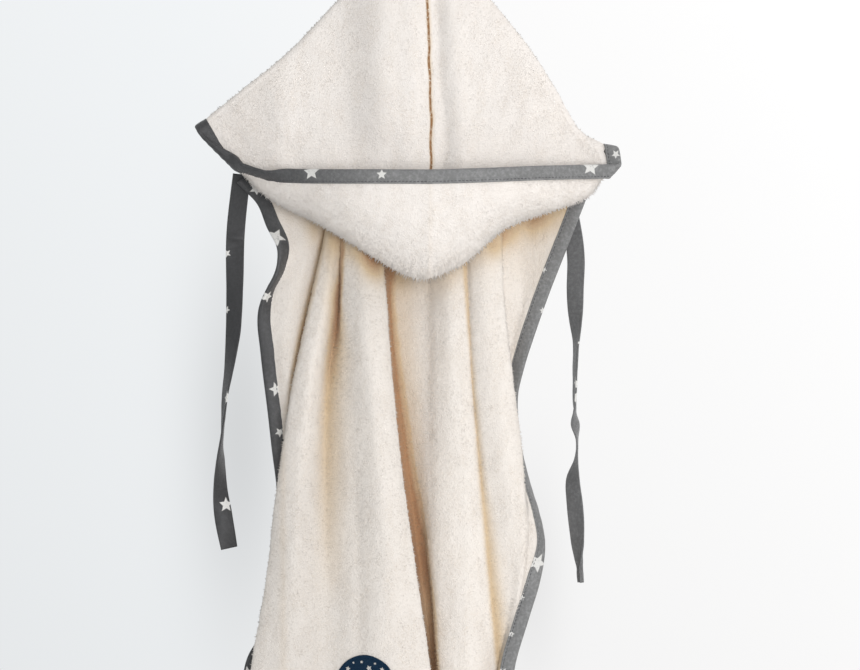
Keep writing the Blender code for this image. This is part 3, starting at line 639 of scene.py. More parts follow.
def print_place(points, v, along, x, z, where=(0.0, 1.0)):
    """Where on a strip's flat cloth the spot is that shows at x and z, from the front."""
    out = np.cross(np.roll(points, -1, axis=1) - np.roll(points, 1, axis=1), np.gradient(points, axis=0))
    share = np.linspace(0, 1, len(points))[:, None]
    hidden = np.where((share >= where[0]) & (share <= where[1]), 0, 500) + np.where(out[..., 1] < 0, 0, 60)
    best = None
    for part in np.linspace(0, 1, 8, endpoint=False):
        spots = points[:, :-1] * (1 - part) + points[:, 1:] * part
        away = np.hypot(spots[..., 0] - x, spots[..., 2] - z) + np.maximum(hidden[:, :-1], hidden[:, 1:])
        i, k = np.unravel_index(np.argmin(away), away.shape)
        if best is None or away[i, k] < best[0]:
            best = (away[i, k], float(along[i]), float(v[k] + (v[k + 1] - v[k]) * part))
    return best[1:]


def scattered(seed, first, last, wide, taken, apart=(34, 78)):
    """Stars at uneven places along a strip, clear of the ones already placed."""
    chance = np.random.default_rng(seed)
    out, u = [], first + chance.uniform(8, 30)
    while u < last - 6:
        small = chance.random() < 0.4
        star = (u, chance.uniform(0, wide), 4.3 if small else 6.9, chance.uniform(0, 72))
        if all(abs(u - other[0]) > star[2] + other[2] + 12 or abs(star[1] - other[1]) > 22 for other in taken):
            out.append(star)
        u += chance.uniform(*apart)
    return out

# ---------------------------------------------------------------- materials
def finish(name, roughness, metallic=0.0):
    """A node material with its shader, ready for what drives its colour and its bump."""
    made = bpy.data.materials.new(name)
    made.use_nodes = True
    tree = made.node_tree
    shader = tree.nodes["Principled BSDF"]
    shader.inputs["Roughness"].default_value = roughness
    shader.inputs["Metallic"].default_value = metallic
    return made, tree, shader


def node(tree, kind, inputs=None, **settings):
    made = tree.nodes.new("ShaderNode" + kind)
    for key, value in settings.items():
        setattr(made, key, value)
    for key, value in (inputs or {}).items():
        if isinstance(value, bpy.types.NodeSocket):
            tree.links.new(value, made.inputs[key])
        else:
            made.inputs[key].default_value = value
    return made


def maths(tree, operation, *values, clamp=False):
    made = node(tree, "Math", dict(enumerate(values)), operation=operation)
    made.use_clamp = clamp
    return made.outputs[0]


def spread(tree, value, low, high, to_low=0.0, to_high=1.0, smooth_ends=False):
    made = node(tree, "MapRange", {"Value": value, "From Min": low, "From Max": high,
                                   "To Min": to_low, "To Max": to_high})
    if smooth_ends:
        made.interpolation_type = "SMOOTHSTEP"
    return made.outputs[0]


def mixed(tree, share, one, other, blend="MIX"):
    made = node(tree, "Mix", data_type="RGBA", blend_type=blend)
    for socket, value in ((made.inputs[0], share), (made.inputs[6], one), (made.inputs[7], other)):
        if isinstance(value, bpy.types.NodeSocket):
            tree.links.new(value, socket)
        else:
            socket.default_value = value if isinstance(value, float) else (*value, 1)
    return made.outputs[2]


def lumps(tree, where, scale, detail=2.0, roughness=0.5):
    return node(tree, "TexNoise", {"Vector": where, "Scale": scale, "Detail": detail,
                                   "Roughness": roughness}).outputs["Fac"]


def bumped(tree, height, distance, strength=1.0, under=None):
    inputs = {"Height": height, "Distance": distance, "Strength": strength}
    if under is not None:
        inputs["Normal"] = under
    return node(tree, "Bump", inputs).outputs[0]


def terry_finish(name, tone=(0.915, 0.871, 0.834), relief=True, seam=False):
    """Ivory cotton towelling: small loops with a shade between them, slightly uneven in tone, with painted shade that
    the cloth carries as values by point.
    """
    made, tree, shader = finish(name, 0.96)
    where = node(tree, "TexCoord").outputs["Object"]
    loops = node(tree, "TexVoronoi", {"Vector": where, "Scale": 820.0, "Randomness": 1.0}).outputs["Distance"]
    loop = spread(tree, loops, 0.0, 0.75, 1.0, 0.0)
    fine = lumps(tree, where, 1500.0, 2.0)
    clumps = lumps(tree, where, 260.0, 3.0, 0.6)
    wide = lumps(tree, where, 22.0, 3.0, 0.55)
    deep = tuple(c * k for c, k in zip(tone, (0.84, 0.81, 0.77)))
    tan = tuple(c * k for c, k in zip(tone, (0.965, 0.95, 0.925)))
    colour = mixed(tree, spread(tree, loop, 0.15, 0.8), deep, tone)
    colour = mixed(tree, spread(tree, clumps, 0.36, 0.60), tuple(c * k for c, k in zip(tone, (0.885, 0.87, 0.85))), colour)
    long = node(tree, "Mapping", {"Vector": where, "Scale": (1.0, 1.0, 0.38)}).outputs[0]
    streaks = lumps(tree, long, 105.0, 2.0, 0.5)
    colour = mixed(tree, spread(tree, streaks, 0.40, 0.62), tuple(c * k for c, k in zip(tone, (0.93, 0.92, 0.905))), colour)
    colour = mixed(tree, spread(tree, wide, 0.35, 0.75, 0.0, 0.5), colour, tan)
    # Painted shade: a value by point turns the ivory golden, then deep tan brown, in the folds and under the pouch.
    depth = node(tree, "Attribute", attribute_name="painted_fold_shade").outputs["Fac"]
    golden = tuple(c * k for c, k in zip(tone, (0.77, 0.635, 0.45)))
    hidden = tuple(c * k for c, k in zip(tone, (0.51, 0.305, 0.175)))
    colour = mixed(tree, spread(tree, depth, 0.0, 0.5), colour, golden)
    colour = mixed(tree, spread(tree, depth, 0.5, 1.0), colour, hidden)
    # Painted shade: a second value by point darkens the colour towards black.
    painted_grey_shade = node(tree, "Attribute", attribute_name="painted_grey_shade").outputs["Fac"]
    colour = mixed(tree, painted_grey_shade, colour, (0.0, 0.0, 0.0))
    if seam:
        # The centre seam is a fine, broken brown line where the cloth's two edges meet: the seam and painted shade in
        # its crease.
        beside = maths(tree, "ABSOLUTE", node(tree, "SeparateXYZ", {"Vector": node(tree, "UVMap", uv_map="cloth").outputs[0]}).outputs[0])
        broken = spread(tree, lumps(tree, where, 330.0, 2.0), 0.34, 0.50, 0.55, 1.0)
        line = maths(tree, "MULTIPLY", spread(tree, beside, 0.0007, 0.0017, 1.0, 0.0), broken)
        line = maths(tree, "MULTIPLY", line, spread(tree, depth, 0.05, 0.22))
        colour = mixed(tree, line, colour, tuple(c * k for c, k in zip(tone, (0.33, 0.185, 0.085))))
    tree.links.new(colour, shader.inputs["Base Color"])
    shader.inputs["Sheen Weight"].default_value = 0.22
    shader.inputs["Sheen Roughness"].default_value = 0.6
    shader.inputs["Sheen Tint"].default_value = (1.0, 0.97, 0.93, 1)
    shader.inputs["Specular IOR Level"].default_value = 0.12
    if relief:
        normal = bumped(tree, clumps, 0.0015, 0.42)
        normal = bumped(tree, loop, 0.0006, 0.5, normal)
    else:
        normal = bumped(tree, fine, 0.0001, 0.2)
    tree.links.new(normal, shader.inputs["Normal"])
    return made


def star_share(tree):
    """1 inside a printed five-point star of the 'star' map, 0 outside."""
    where = node(tree, "UVMap", uv_map="star").outputs[0]
    parts = node(tree, "SeparateXYZ", {"Vector": where})
    x, y = parts.outputs[0], parts.outputs[1]
    length = node(tree, "VectorMath", {0: where}, operation="LENGTH").outputs["Value"]
    angle = maths(tree, "ARCTAN2", y, x)
    fifth = 2 * math.pi / 5
    turned = maths(tree, "FLOORED_MODULO", angle, fifth)
    off = maths(tree, "ABSOLUTE", maths(tree, "SUBTRACT", turned, fifth / 2))
    # 0 now lies between two points of the star, and a point lies at half a fifth of a turn.
    along = maths(tree, "MULTIPLY", length, maths(tree, "COSINE", off))
    across = maths(tree, "MULTIPLY", length, maths(tree, "SINE", off))
    inner = 0.47
    tip = (math.cos(fifth / 2), math.sin(fifth / 2))
    edge = np.array([tip[0] - inner, tip[1]])
    edge /= np.linalg.norm(edge)
    out = (edge[1], -edge[0])
    away = maths(tree, "ADD", maths(tree, "MULTIPLY", maths(tree, "SUBTRACT", along, inner), out[0]),
                 maths(tree, "MULTIPLY", across, out[1]))
    return spread(tree, away, -0.03, 0.035, 1.0, 0.0)


def cotton_finish(name, tone=(0.208, 0.208, 0.206), stars=True, bias=True):
    """Charcoal plain-weave cotton cut on the bias, with ivory stars printed on it."""
    made, tree, shader = finish(name, 0.43)
    flat = node(tree, "UVMap", uv_map="cloth").outputs[0]
    where = node(tree, "TexCoord").outputs["Object"]
    turned = node(tree, "Mapping", {"Vector": flat, "Rotation": (0, 0, math.radians(45 if bias else 0))}).outputs[0]
    warp = node(tree, "TexWave", {"Vector": turned, "Scale": 560.0, "Distortion": 0.5, "Detail": 1.0},
                wave_type="BANDS", bands_direction="X").outputs["Fac"]
    weft = node(tree, "TexWave", {"Vector": turned, "Scale": 560.0, "Distortion": 0.5, "Detail": 1.0},
                wave_type="BANDS", bands_direction="Y").outputs["Fac"]
    threads = maths(tree, "MULTIPLY", warp, weft)
    slub = lumps(tree, where, 420.0, 3.0, 0.6)
    wide = lumps(tree, where, 60.0, 3.0, 0.6)
    pale = tuple(c * 1.30 for c in tone)
    dark = tuple(c * 0.72 for c in tone)
    colour = mixed(tree, spread(tree, threads, 0.0, 0.7), dark, tone)
    colour = mixed(tree, spread(tree, slub, 0.42, 0.72), colour, pale)
    colour = mixed(tree, spread(tree, wide, 0.35, 0.75, 0.0, 0.22), colour, dark)
    # Painted light and shade: the cotton is darker towards its left end, full tone from near the middle rightwards.
    painted_light_share = spread(tree, node(tree, "SeparateXYZ", {"Vector": where}).outputs[0], -0.135, -0.030)
    colour = mixed(tree, painted_light_share, mixed(tree, 1.0, colour, (0.20, 0.20, 0.212), "MULTIPLY"), colour)
    if stars:
        ink = mixed(tree, spread(tree, threads, 0.0, 0.6), (0.66, 0.65, 0.62), (0.80, 0.785, 0.755))
        worn = spread(tree, slub, 0.3, 0.42, 0.55, 1.0)
        colour = mixed(tree, maths(tree, "MULTIPLY", star_share(tree), worn), colour, ink)
    tree.links.new(colour, shader.inputs["Base Color"])
    shader.inputs["Sheen Weight"].default_value = 0.06
    shader.inputs["Sheen Roughness"].default_value = 0.5
    shader.inputs["Sheen Tint"].default_value = (0.95, 0.95, 0.95, 1)
    shader.inputs["Specular IOR Level"].default_value = 0.62
    normal = bumped(tree, wide, 0.0012, 0.35)
    normal = bumped(tree, threads, 0.00022, 0.6, normal)
    tree.links.new(normal, shader.inputs["Normal"])
    return made


def patch_finish(name):
    """Navy fill stitching: short threads side by side, with pale stars and a satin edge."""
    made, tree, shader = finish(name, 0.55)
    flat = node(tree, "UVMap", uv_map="cloth").outputs[0]
    where = node(tree, "TexCoord").outputs["Object"]
    long = node(tree, "Mapping", {"Vector": flat, "Rotation": (0, 0, math.radians(-32)),
                                  "Scale": (1.0, 0.14, 1.0)}).outputs[0]
    rows = node(tree, "TexWave", {"Vector": long, "Scale": 620.0, "Distortion": 1.2, "Detail": 2.0,
                                  "Detail Scale": 3.0}, wave_type="BANDS", bands_direction="X").outputs["Fac"]
    slub = lumps(tree, where, 900.0, 2.0)
    colour = mixed(tree, spread(tree, rows, 0.1, 0.9), (0.003, 0.014, 0.032), (0.008, 0.034, 0.072))
    colour = mixed(tree, spread(tree, slub, 0.5, 0.75, 0.0, 0.5), colour, (0.020, 0.050, 0.095))
    colour = mixed(tree, star_share(tree), colour, (0.62, 0.60, 0.56))
    tree.links.new(colour, shader.inputs["Base Color"])
    shader.inputs["Sheen Weight"].default_value = 0.0
    shader.inputs["Specular IOR Level"].default_value = 0.08
    normal = bumped(tree, rows, 0.00035, 0.8)
    tree.links.new(normal, shader.inputs["Normal"])
    return made


def thread_finish(name, tone, pitch=900.0):
    made, tree, shader = finish(name, 0.7)
    where = node(tree, "TexCoord").outputs["Object"]
    twist = lumps(tree, where, pitch * 1.6, 2.0)
    colour = mixed(tree, spread(tree, twist, 0.3, 0.7), tuple(c * 0.7 for c in tone), tuple(c * 1.15 for c in tone))
    tree.links.new(colour, shader.inputs["Base Color"])
    shader.inputs["Specular IOR Level"].default_value = 0.25
    tree.links.new(bumped(tree, twist, 0.0002, 0.5), shader.inputs["Normal"])
    return made


def steel_finish(name):
    """Brushed steel: fine rings round the turned hook, and small marks where the loop rubs."""
    made, tree, shader = finish(name, 0.34, 1.0)
    where = node(tree, "TexCoord").outputs["Object"]
    rings = node(tree, "TexWave", {"Vector": where, "Scale": 210.0, "Distortion": 1.4, "Detail": 3.0,
                                   "Detail Scale": 2.0}, wave_type="RINGS", rings_direction="Y").outputs["Fac"]
    marks = lumps(tree, where, 340.0, 4.0, 0.65)
    colour = mixed(tree, spread(tree, marks, 0.3, 0.75), (0.52, 0.52, 0.53), (0.64, 0.64, 0.645))
    tree.links.new(colour, shader.inputs["Base Color"])
    tree.links.new(spread(tree, maths(tree, "ADD", rings, marks), 0.4, 1.6, 0.26, 0.46), shader.inputs["Roughness"])
    tree.links.new(bumped(tree, rings, 0.00006, 0.5), shader.inputs["Normal"])
    return made


def floor_finish(name):
    made, tree, shader = finish(name, 0.9)
    where = node(tree, "TexCoord").outputs["Object"]
    away = node(tree, "VectorMath", {0: where}, operation="LENGTH").outputs["Value"]
    grain = lumps(tree, where, 30.0, 3.0)
    colour = mixed(tree, spread(tree, grain, 0.3, 0.7), (0.80, 0.80, 0.795), (0.84, 0.84, 0.835))
    tree.links.new(colour, shader.inputs["Base Color"])
    clear = node(tree, "BsdfTransparent")
    mix = node(tree, "MixShader", {0: spread(tree, away, 0.55, 1.35, smooth_ends=True),
                                   1: shader.outputs[0], 2: clear.outputs[0]})
    tree.links.new(mix.outputs[0], tree.nodes["Material Output"].inputs["Surface"])
    return made

# ---------------------------------------------------------------- camera, light and floor
def studio():
    scene = bpy.context.scene
    seen = bpy.data.cameras.new("view")
    seen.sensor_width = 36.0
    seen.lens = 36.0 * 6.0 / 0.7138
    seen.clip_start, seen.clip_end = 0.1, 60.0
    camera = bpy.data.objects.new("view", seen)
    camera.location = (0.0066, -6.05, -0.3706)
    camera.rotation_euler = (math.radians(90), 0, 0)
    scene.collection.objects.link(camera)
    scene.camera = camera
    scene.view_settings.view_transform = "Standard"
    scene.view_settings.look = "None"

    for name, place, aim, size, power, tint in (
            ("key", (0.95, -4.6, -0.22), (0, 0, -0.40), 2.0, KEY_POWER, (0.985, 0.99, 1.01)),
            ("side", (2.6, -1.7, 0.3), (0, 0, -0.35), 1.6, SIDE_POWER, (1.0, 0.995, 0.99)),
            ("low", (0.4, -4.2, -0.95), (0, 0, -0.30), 1.6, LOW_POWER, (1.0, 0.995, 0.985))):
        lamp = bpy.data.lights.new(name, "AREA")
        lamp.size, lamp.energy, lamp.color = size, power, tint
        made = bpy.data.objects.new(name, lamp)
        made.location = place
        made.visible_camera = False
        way = Vector(aim) - Vector(place)
        made.rotation_euler = way.to_track_quat("-Z", "Y").to_euler()
        scene.collection.objects.link(made)

    sky = bpy.data.worlds.new("soft_white")
    sky.use_nodes = True
    scene.world = sky
    tree = sky.node_tree
    parts = node(tree, "SeparateXYZ", {"Vector": node(tree, "TexCoord").outputs["Generated"]})
    across = spread(tree, parts.outputs[0], -0.09, 0.09, -0.085, 0.085)
    up = spread(tree, parts.outputs[2], -0.07, 0.07, -0.055, 0.055)
    behind = spread(tree, parts.outputs[1], -0.5, 0.75, WORLD_FRONT, 1.0, smooth_ends=True)
    side = spread(tree, parts.outputs[0], -1.0, 1.0, 0.84, 1.16)
    behind = maths(tree, "MULTIPLY", behind, side)
    level = maths(tree, "ADD", maths(tree, "ADD", across, up), 0.925)
    # Painted shadow: the backdrop is a little darker close beside the hanging cloth, where its shadow falls on the
    # wall: middle, half widths, how much.
    for x0, z0, half_x, half_z, less in ((-0.0262, -0.0130, 0.0070, 0.026, 0.20), (0.0140, -0.0330, 0.0042, 0.014, 0.10)):
        away_x = maths(tree, "DIVIDE", maths(tree, "SUBTRACT", parts.outputs[0], x0), half_x)
        away_z = maths(tree, "DIVIDE", maths(tree, "SUBTRACT", parts.outputs[2], z0), half_z)
        square = maths(tree, "ADD", maths(tree, "MULTIPLY", away_x, away_x), maths(tree, "MULTIPLY", away_z, away_z))
        painted_shadow = maths(tree, "POWER", 2.718, maths(tree, "MULTIPLY", square, -1.0))
        level = maths(tree, "SUBTRACT", level, maths(tree, "MULTIPLY", painted_shadow, less))
    backdrop = tree.nodes["Background"]
    cool = mixed(tree, spread(tree, parts.outputs[0], -0.034, 0.012), (0.960, 0.984, 1.0), (0.997, 0.995, 0.995))
    tree.links.new(cool, backdrop.inputs["Color"])
    tree.links.new(maths(tree, "MULTIPLY", level, behind), backdrop.inputs["Strength"])

    ring = [(0.0, 0.0, 0.0)]
    faces = []
    for k in range(72):
        turn = 2 * math.pi * k / 72
        ring.append((1500 * math.cos(turn), 1500 * math.sin(turn), 0.0))
        faces.append((0, 1 + k, 1 + (k + 1) % 72))
    data = bpy.data.meshes.new("floor")
    data.from_pydata([tuple(c * 0.001 for c in p) for p in ring], [], faces)
    data.materials.append(floor_finish("pale_floor"))
    floor = bpy.data.objects.new("floor", data)
    floor.location = (0, -0.05, -0.86)
    scene.collection.objects.link(floor)


KEY_POWER, SIDE_POWER, LOW_POWER, WORLD_FRONT = 92.0, 7.0, 24.0, 0.60
studio()

# Painted shade: the body gets a darker copy of the hood's ivory, though both are the same towelling.
BODY_SHADED_TONE = (0.872, 0.824, 0.776)
IVORY = terry_finish("ivory_terry", seam=True)
IVORY_LOOPS = terry_finish("ivory_terry_loops", relief=False)
BODY_IVORY = terry_finish("ivory_terry_body", BODY_SHADED_TONE)
BODY_LOOPS = terry_finish("ivory_terry_body_loops", BODY_SHADED_TONE, relief=False)
CHARCOAL = cotton_finish("charcoal_star_cotton")
# Painted shade: the ties get a darker copy of the binding's charcoal star cotton.
TIE_SHADED_COTTON = cotton_finish("charcoal_star_tie", tone=(0.128, 0.128, 0.129))
PLAIN = cotton_finish("charcoal_loop_cotton", tone=(0.10, 0.10, 0.101), stars=False, bias=False)
NAVY = patch_finish("navy_embroidery")
DARK_THREAD = thread_finish("charcoal_thread", (0.10, 0.10, 0.105))
STEEL = steel_finish("brushed_steel")


# ---------------------------------------------------------------- how much of the front is closed in
def closed_in(points, normals, others=(), step=(4, 4), reach=55.0, rays=20):
    """From 0 to 1 for each point of a grid: the share of the view ahead of it that the cloth
    round it closes in, found on every step-th point and spread over the rest."""
    rows = np.unique(np.append(np.arange(0, points.shape[0], step[0]), points.shape[0] - 1))
    columns = np.unique(np.append(np.arange(0, points.shape[1], step[1]), points.shape[1] - 1))
    verts, faces = [], []
    for grid in (points,) + tuple(others):
        r = np.unique(np.append(np.arange(0, grid.shape[0], 3), grid.shape[0] - 1))
        c = np.unique(np.append(np.arange(0, grid.shape[1], 2), grid.shape[1] - 1))
        coarse = grid[np.ix_(r, c)]
        faces.append(grid_quads(len(r), len(c), start=sum(len(v) for v in verts)))
        verts.append(coarse.reshape(-1, 3))
    tree = BVHTree.FromPolygons([tuple(p) for p in np.concatenate(verts)],
                                [tuple(int(i) for i in f) for f in np.concatenate(faces)])
    chance = np.random.default_rng(5)
    golden = math.pi * (3 - math.sqrt(5))
    found = np.zeros((len(rows), len(columns)))
    for a, i in enumerate(rows):
        for b, j in enumerate(columns):
            n = Vector(normals[i, j])
            start = Vector(points[i, j]) + n * 2.6
            side = n.orthogonal().normalized()
            other = n.cross(side)
            spin = chance.random() * 6.28
            hits = 0.0
            for k in range(rays):
                height = math.sqrt((k + 0.5) / rays)
                flat = math.sqrt(1 - height * height)
                turn = spin + golden * k
                way = n * height + (side * math.cos(turn) + other * math.sin(turn)) * flat
                hit = tree.ray_cast(start, way, reach)
                if hit[0] is not None:
                    hits += 1
            found[a, b] = hits / rays
    for _ in range(2):
        padded = np.pad(found, 1, mode="edge")
        found = sum(padded[1 + dy:1 + dy + found.shape[0], 1 + dx:1 + dx + found.shape[1]]
                    for dy in (-1, 0, 1) for dx in (-1, 0, 1)) / 9
    wide = np.stack([np.interp(np.arange(points.shape[1]), columns, row) for row in found])
    return np.stack([np.interp(np.arange(points.shape[0]), rows, line) for line in wide.T], axis=1)


# ---------------------------------------------------------------- build: body
ROWS, COLUMNS = 345, 217
body, body_folds = body_grid(COLUMNS, ROWS)
body, body_across, body_down = creased(body, body_folds)
body = world(body)
body_normals = facing(body)

# ---------------------------------------------------------------- build: hood's face binding
def turned_back(points, start, direction, radius):
    """Points (x, z, f) of flat cloth after it is folded back behind itself over a line through
    start. The middle of the hood stays where it is."""
    line = np.array([math.cos(math.radians(direction)), math.sin(math.radians(direction))])
    keep = np.array([-line[1], line[0]])
    if np.dot(np.array([0.0, -240.0]) - start, keep) < 0:
        keep = -keep
    beyond = -((points[..., :2] - start) @ keep) - 0.0
    turn = np.clip(beyond / radius, 0, math.pi)
    lands = np.where(beyond <= 0, -beyond, np.where(beyond < math.pi * radius, -radius * np.sin(turn),
                                                     beyond - math.pi * radius))
    out = points.copy()
    out[..., :2] += ((lands + beyond)[..., None]) * keep
    out[..., 2] -= radius * (1 - np.cos(turn))
    return out


FACE_LINE = {-1: ((7, -244.7), (-26, -244.5), (-59, -244.3), (-92, -244.0), (-112, -243.3), (-125, -242.2),
                  (-141, -237.6), (-157.7, -231.6)),
             1: ((7, -244.7), (37, -243.9), (67, -242.7), (97, -241.2), (127, -240.2), (142, -239.8),
                 (156.9, -239.2))}
# Past the last point: heading of the tape, then each fold (start, direction, radius).
FACE_TURNS = {-1: (150.2, ((-155.5, -229.4), 135.1, 2.0), ((-177.1, -197.2), 33.0, 5.5)),
              1: (0.0, ((154.5, -237.1), 49.0, 2.0), ((152.5, -219.0), -11.0, 5.5))}
# f of the face edge before the folds: way along from the middle, then at the folds and corner.
FACE_F = ((0, 100), (33, 98), (66, 92), (99, 79), (132, 61), (149, 52), (166, 46.2), (215, 43), (300, 38))


def face_line(side):
    """Flat points (x, z) of the face edge every 0.8 mm from the middle, and ways out of it."""
    heading, first, _ = FACE_TURNS[side]
    last = np.array(FACE_LINE[side][-1], float)
    way = np.array([math.cos(math.radians(heading)), math.sin(math.radians(heading))])
    flat = np.concatenate([np.array(FACE_LINE[side], float), [last + way * 60, last + way * 190]])
    fine = [flat[0]]
    along, line = spaced(flat, 0.8)
    line = blurred(line, 120)
    along, line = spaced(line, 0.8)
    ways = unit(np.gradient(line, axis=0))
    out = np.stack([ways[:, 1], -ways[:, 0]], axis=1) if side < 0 else np.stack([-ways[:, 1], ways[:, 0]], axis=1)
    return along, line, out


def face_middle(side):
    along, line, out = face_line(side)
    _, first, second = FACE_TURNS[side]
    lean = 0.9 * noise(along, along * 0, 26, 60 + side)
    table = np.array(FACE_F, float)
    f = smooth(table[:, 0], table[:, 1], along)

    # Near the left point the tape leans forward out of the hood's face.
    tilt = np.radians(58) * step_up(along, 112, 140) * (1 - step_up(along, 158, 172)) * (side < 0)

    def middle(o):
        sway = (lean + 0.35 * noise(along, along * 0 + 5, 9, 62 + side)) * np.clip(o / BINDING, 0, 1)
        flat = line + out * (o * np.cos(tilt))[:, None]
        points = np.concatenate([flat, (f + 0.05 * o + sway + o * np.sin(tilt))[:, None]], axis=1)
        points = turned_back(points, np.array(first[0]), first[1], first[2])
        points = turned_back(points, np.array(second[0]), second[1], second[2])
        return world(points[:, [0, 2, 1]])

    # Behind the crown the tape stands on edge towards the wall.
    edge = middle(0.0)
    crown = int(np.argmax(edge[:, 2] - np.where(along < 190, 500, 0)))
    heading = unit(np.gradient(edge, axis=0))
    turn = np.radians(82) * step_up(along, along[crown] - 2, along[crown] + 16)

    def on_edge(o):
        way = middle(o) - edge
        axis = heading * (1 if side > 0 else -1)
        across = np.cross(axis, way)
        turned = way * np.cos(turn)[:, None] + across * np.sin(turn)[:, None]
        return edge + turned
    return along, on_edge


halves = {}
for side, corner in ((-1, NECK_LEFT), (1, NECK_RIGHT)):
    along, middle = face_middle(side)
    edge = middle(0.0)
    near = np.hypot(edge[:, 0] - corner[0], edge[:, 2] - corner[1]) + np.where(along < 200, 500, 0)
    last = int(np.argmin(near)) + 1
    halves[side] = (along, middle, last, edge)
    print("hood tape", side, "ends", np.round(edge[last - 1], 1), "length", round(along[last - 1], 1))


def far_edge(side):
    """Where the face binding's sewn line goes up the far wall: its lowest and highest points."""
    along, _, last, edge = halves[side]
    high = int(np.argmax(edge[:last, 2]))
    low = int(np.argmin(np.hypot(edge[:last, 0] - FACE_LINE[side][-1][0], edge[:last, 2] - FACE_LINE[side][-1][1])
                        + np.where(along[:last] < lengths_along(np.array(FACE_LINE[side], float))[-1] + 10, 90, 0)))
    return edge[low], edge[high]


for side in (-1, 1):
    low, high = far_edge(side)
    HOOD_ENDS[side] = {"bottom_x": low[0] + 1.2 * side, "bottom_z": low[2], "crown_x": high[0] + 1.6 * side,
                       "crown_z": high[2]}
    print("far edge", side, np.round(low, 1), np.round(high, 1))

# ---------------------------------------------------------------- build: hood panels
# Soft ridges that stand upright across the hood: x, top z, low z, half width, how far they stand out.
HOOD_RIDGES = ((-31, -70, -205, 22, 5.5),)
hoods = {}
for side, table in ((-1, HOOD_LEFT), (1, HOOD_RIGHT)):
    grid, at, fold_row, crown_row = hood_grid(table, side, 101, 46, 132, 15, 28)
    across = np.abs(np.broadcast_to(at * 170.0, grid.shape[:2]))
    down = lengths_along(grid)
    share = np.zeros(len(grid))
    share[fold_row:crown_row + 1] = np.linspace(0, 1, crown_row + 1 - fold_row)
    far = (np.arange(len(grid)) >= fold_row) & (np.arange(len(grid)) <= crown_row)
    for at0, low, high, depth, half in HOOD_CREASES[side]:
        ends = step_up(share, low - 0.15, low + 0.15) * (1 - step_up(share, high - 0.15, high + 0.15)) * far
        wander = at0 + 0.02 * noise(share * 100, share * 0, 22, 9)
        grid[..., 1] -= depth * ends[:, None] * np.exp(-((at[None] - wander[:, None]) / half) ** 2)
    for x_, top_z, low_z, half_, raised in HOOD_RIDGES:
        ends = step_up(grid[..., 2], low_z - 14, low_z + 22) * (1 - step_up(grid[..., 2], top_z - 30, top_z + 20))
        grid[..., 1] += raised * ends * far[:, None] * np.exp(-((grid[..., 0] - x_) / half_) ** 2)
    # The cloth goes over the crown in one soft round.
    top = slice(crown_row - 26, crown_row + 24)
    grid[top] = blurred(grid[top], 10)
    open_cloth = step_up(at, 0, 0.12) * (1 - step_up(at, 0.9, 1.0))
    grid[..., 1] += open_cloth * (0.8 * noise(across, down, 38, 21 + side) + 0.45 * noise(across, down, 17, 24 + side))
    # The centre seam pulls in on both faces and wanders a little from side to side.
    seam = np.exp(-(across / 3.2) ** 2)
    near = np.arange(len(grid)) < fold_row
    wander = 0.9 * noise(down, down * 0, 16, 31) + 0.35 * noise(down, down * 0, 6, 32)
    grid[..., 0] += wander * np.exp(-(across / 14.0) ** 2) * np.where(near, 0.3, 1.0)[:, None]
    bound = np.maximum(np.exp(-(down / 4.0) ** 2), np.exp(-((170.0 - across) / 4.0) ** 2))
    uneven = 0.8 + 0.25 * noise(down, down * 0, 7, 33) + 0.12 * noise(down, down * 0, 3, 34)
    # Painted shade along the centre seam's crease, stronger on the right panel and faint on the outside of the pouch.
    shade = (0.55 * np.exp(-((across - 0.6) / 1.7) ** 2) if side > 0 else 0.42 * np.exp(-(across / 1.3) ** 2)) * uneven
    shade = shade * np.where(near, 0.12, 1.0)[:, None]
    grid[..., 0] -= side * 0.34 * np.exp(-(across / 1.2) ** 2) * near[:, None]
    if side < 0:
        grid, across, down = grid[:, ::-1], across[:, ::-1], down[:, ::-1]
        seam, bound, shade = seam[:, ::-1], bound[:, ::-1], shade[:, ::-1]
    seam = seam * np.where(near, 0.12, 1.0)[:, None]
    x_, z_ = grid[..., 0], grid[..., 2]
    # Painted grey shade on the hood: soft fold shadows on the back wall left of the seam, at its left end and just
    # right of the seam, and on the left of the pouch.
    painted_grey_shade = (0.15 * np.exp(-((x_ + 50) / 19) ** 2) * (1 - step_up(z_, -100, -50)) * step_up(z_, -250, -205)
           + 0.12 * (1 - step_up(x_, -130, -106)) + 0.06 * np.exp(-((x_ - 22) / 9) ** 2)) * far[:, None]
    painted_grey_shade = painted_grey_shade + 0.10 * (1 - step_up(x_, -96, -34)) * near[:, None]
    painted_grey_shade = np.clip(painted_grey_shade * (1 + 0.2 * noise(across, down, 24, 51)), 0, 0.3)
    points = world(grid)
    hoods[side] = {"points": points, "painted_grey_shade": painted_grey_shade, "normals": facing(points), "across": across * side, "down": down,
                   "seam": np.maximum(seam, 0.8 * bound), "bound": bound, "shade": shade,
                   "fold_row": fold_row, "crown_row": crown_row}
    print("hood", side, points.shape, "height of columns", np.round(down[-1][[0, 50, 100]], 0))


# ---------------------------------------------------------------- make: cloth pieces
def make_cloth(name, points, normals, across, down, seed, seam=None, back_step=1, inner=None, look=None, outer=None, painted_grey_shade=0.0):
    if seam is not None:
        # The faces come in at the seam: the middle stays, so the wall is thinner there.
        pull = 1.0 - 0.62 * seam
    else:
        pull = np.ones(points.shape[:2])
    if inner is None:
        inner = np.zeros(points.shape[:2])
    # The back face gets a faint copy of the painted shade unless one is given.
    outer = 0.06 * inner if outer is None else outer
    return cloth_piece(name, points, normals, across, down, look or IVORY, seed, back_step,
                       {"painted_fold_shade": (inner, outer), "painted_grey_shade": (painted_grey_shade * np.ones(inner.shape),) * 2}, pull=pull)


hood_back = {side: h["points"] for side, h in hoods.items()}
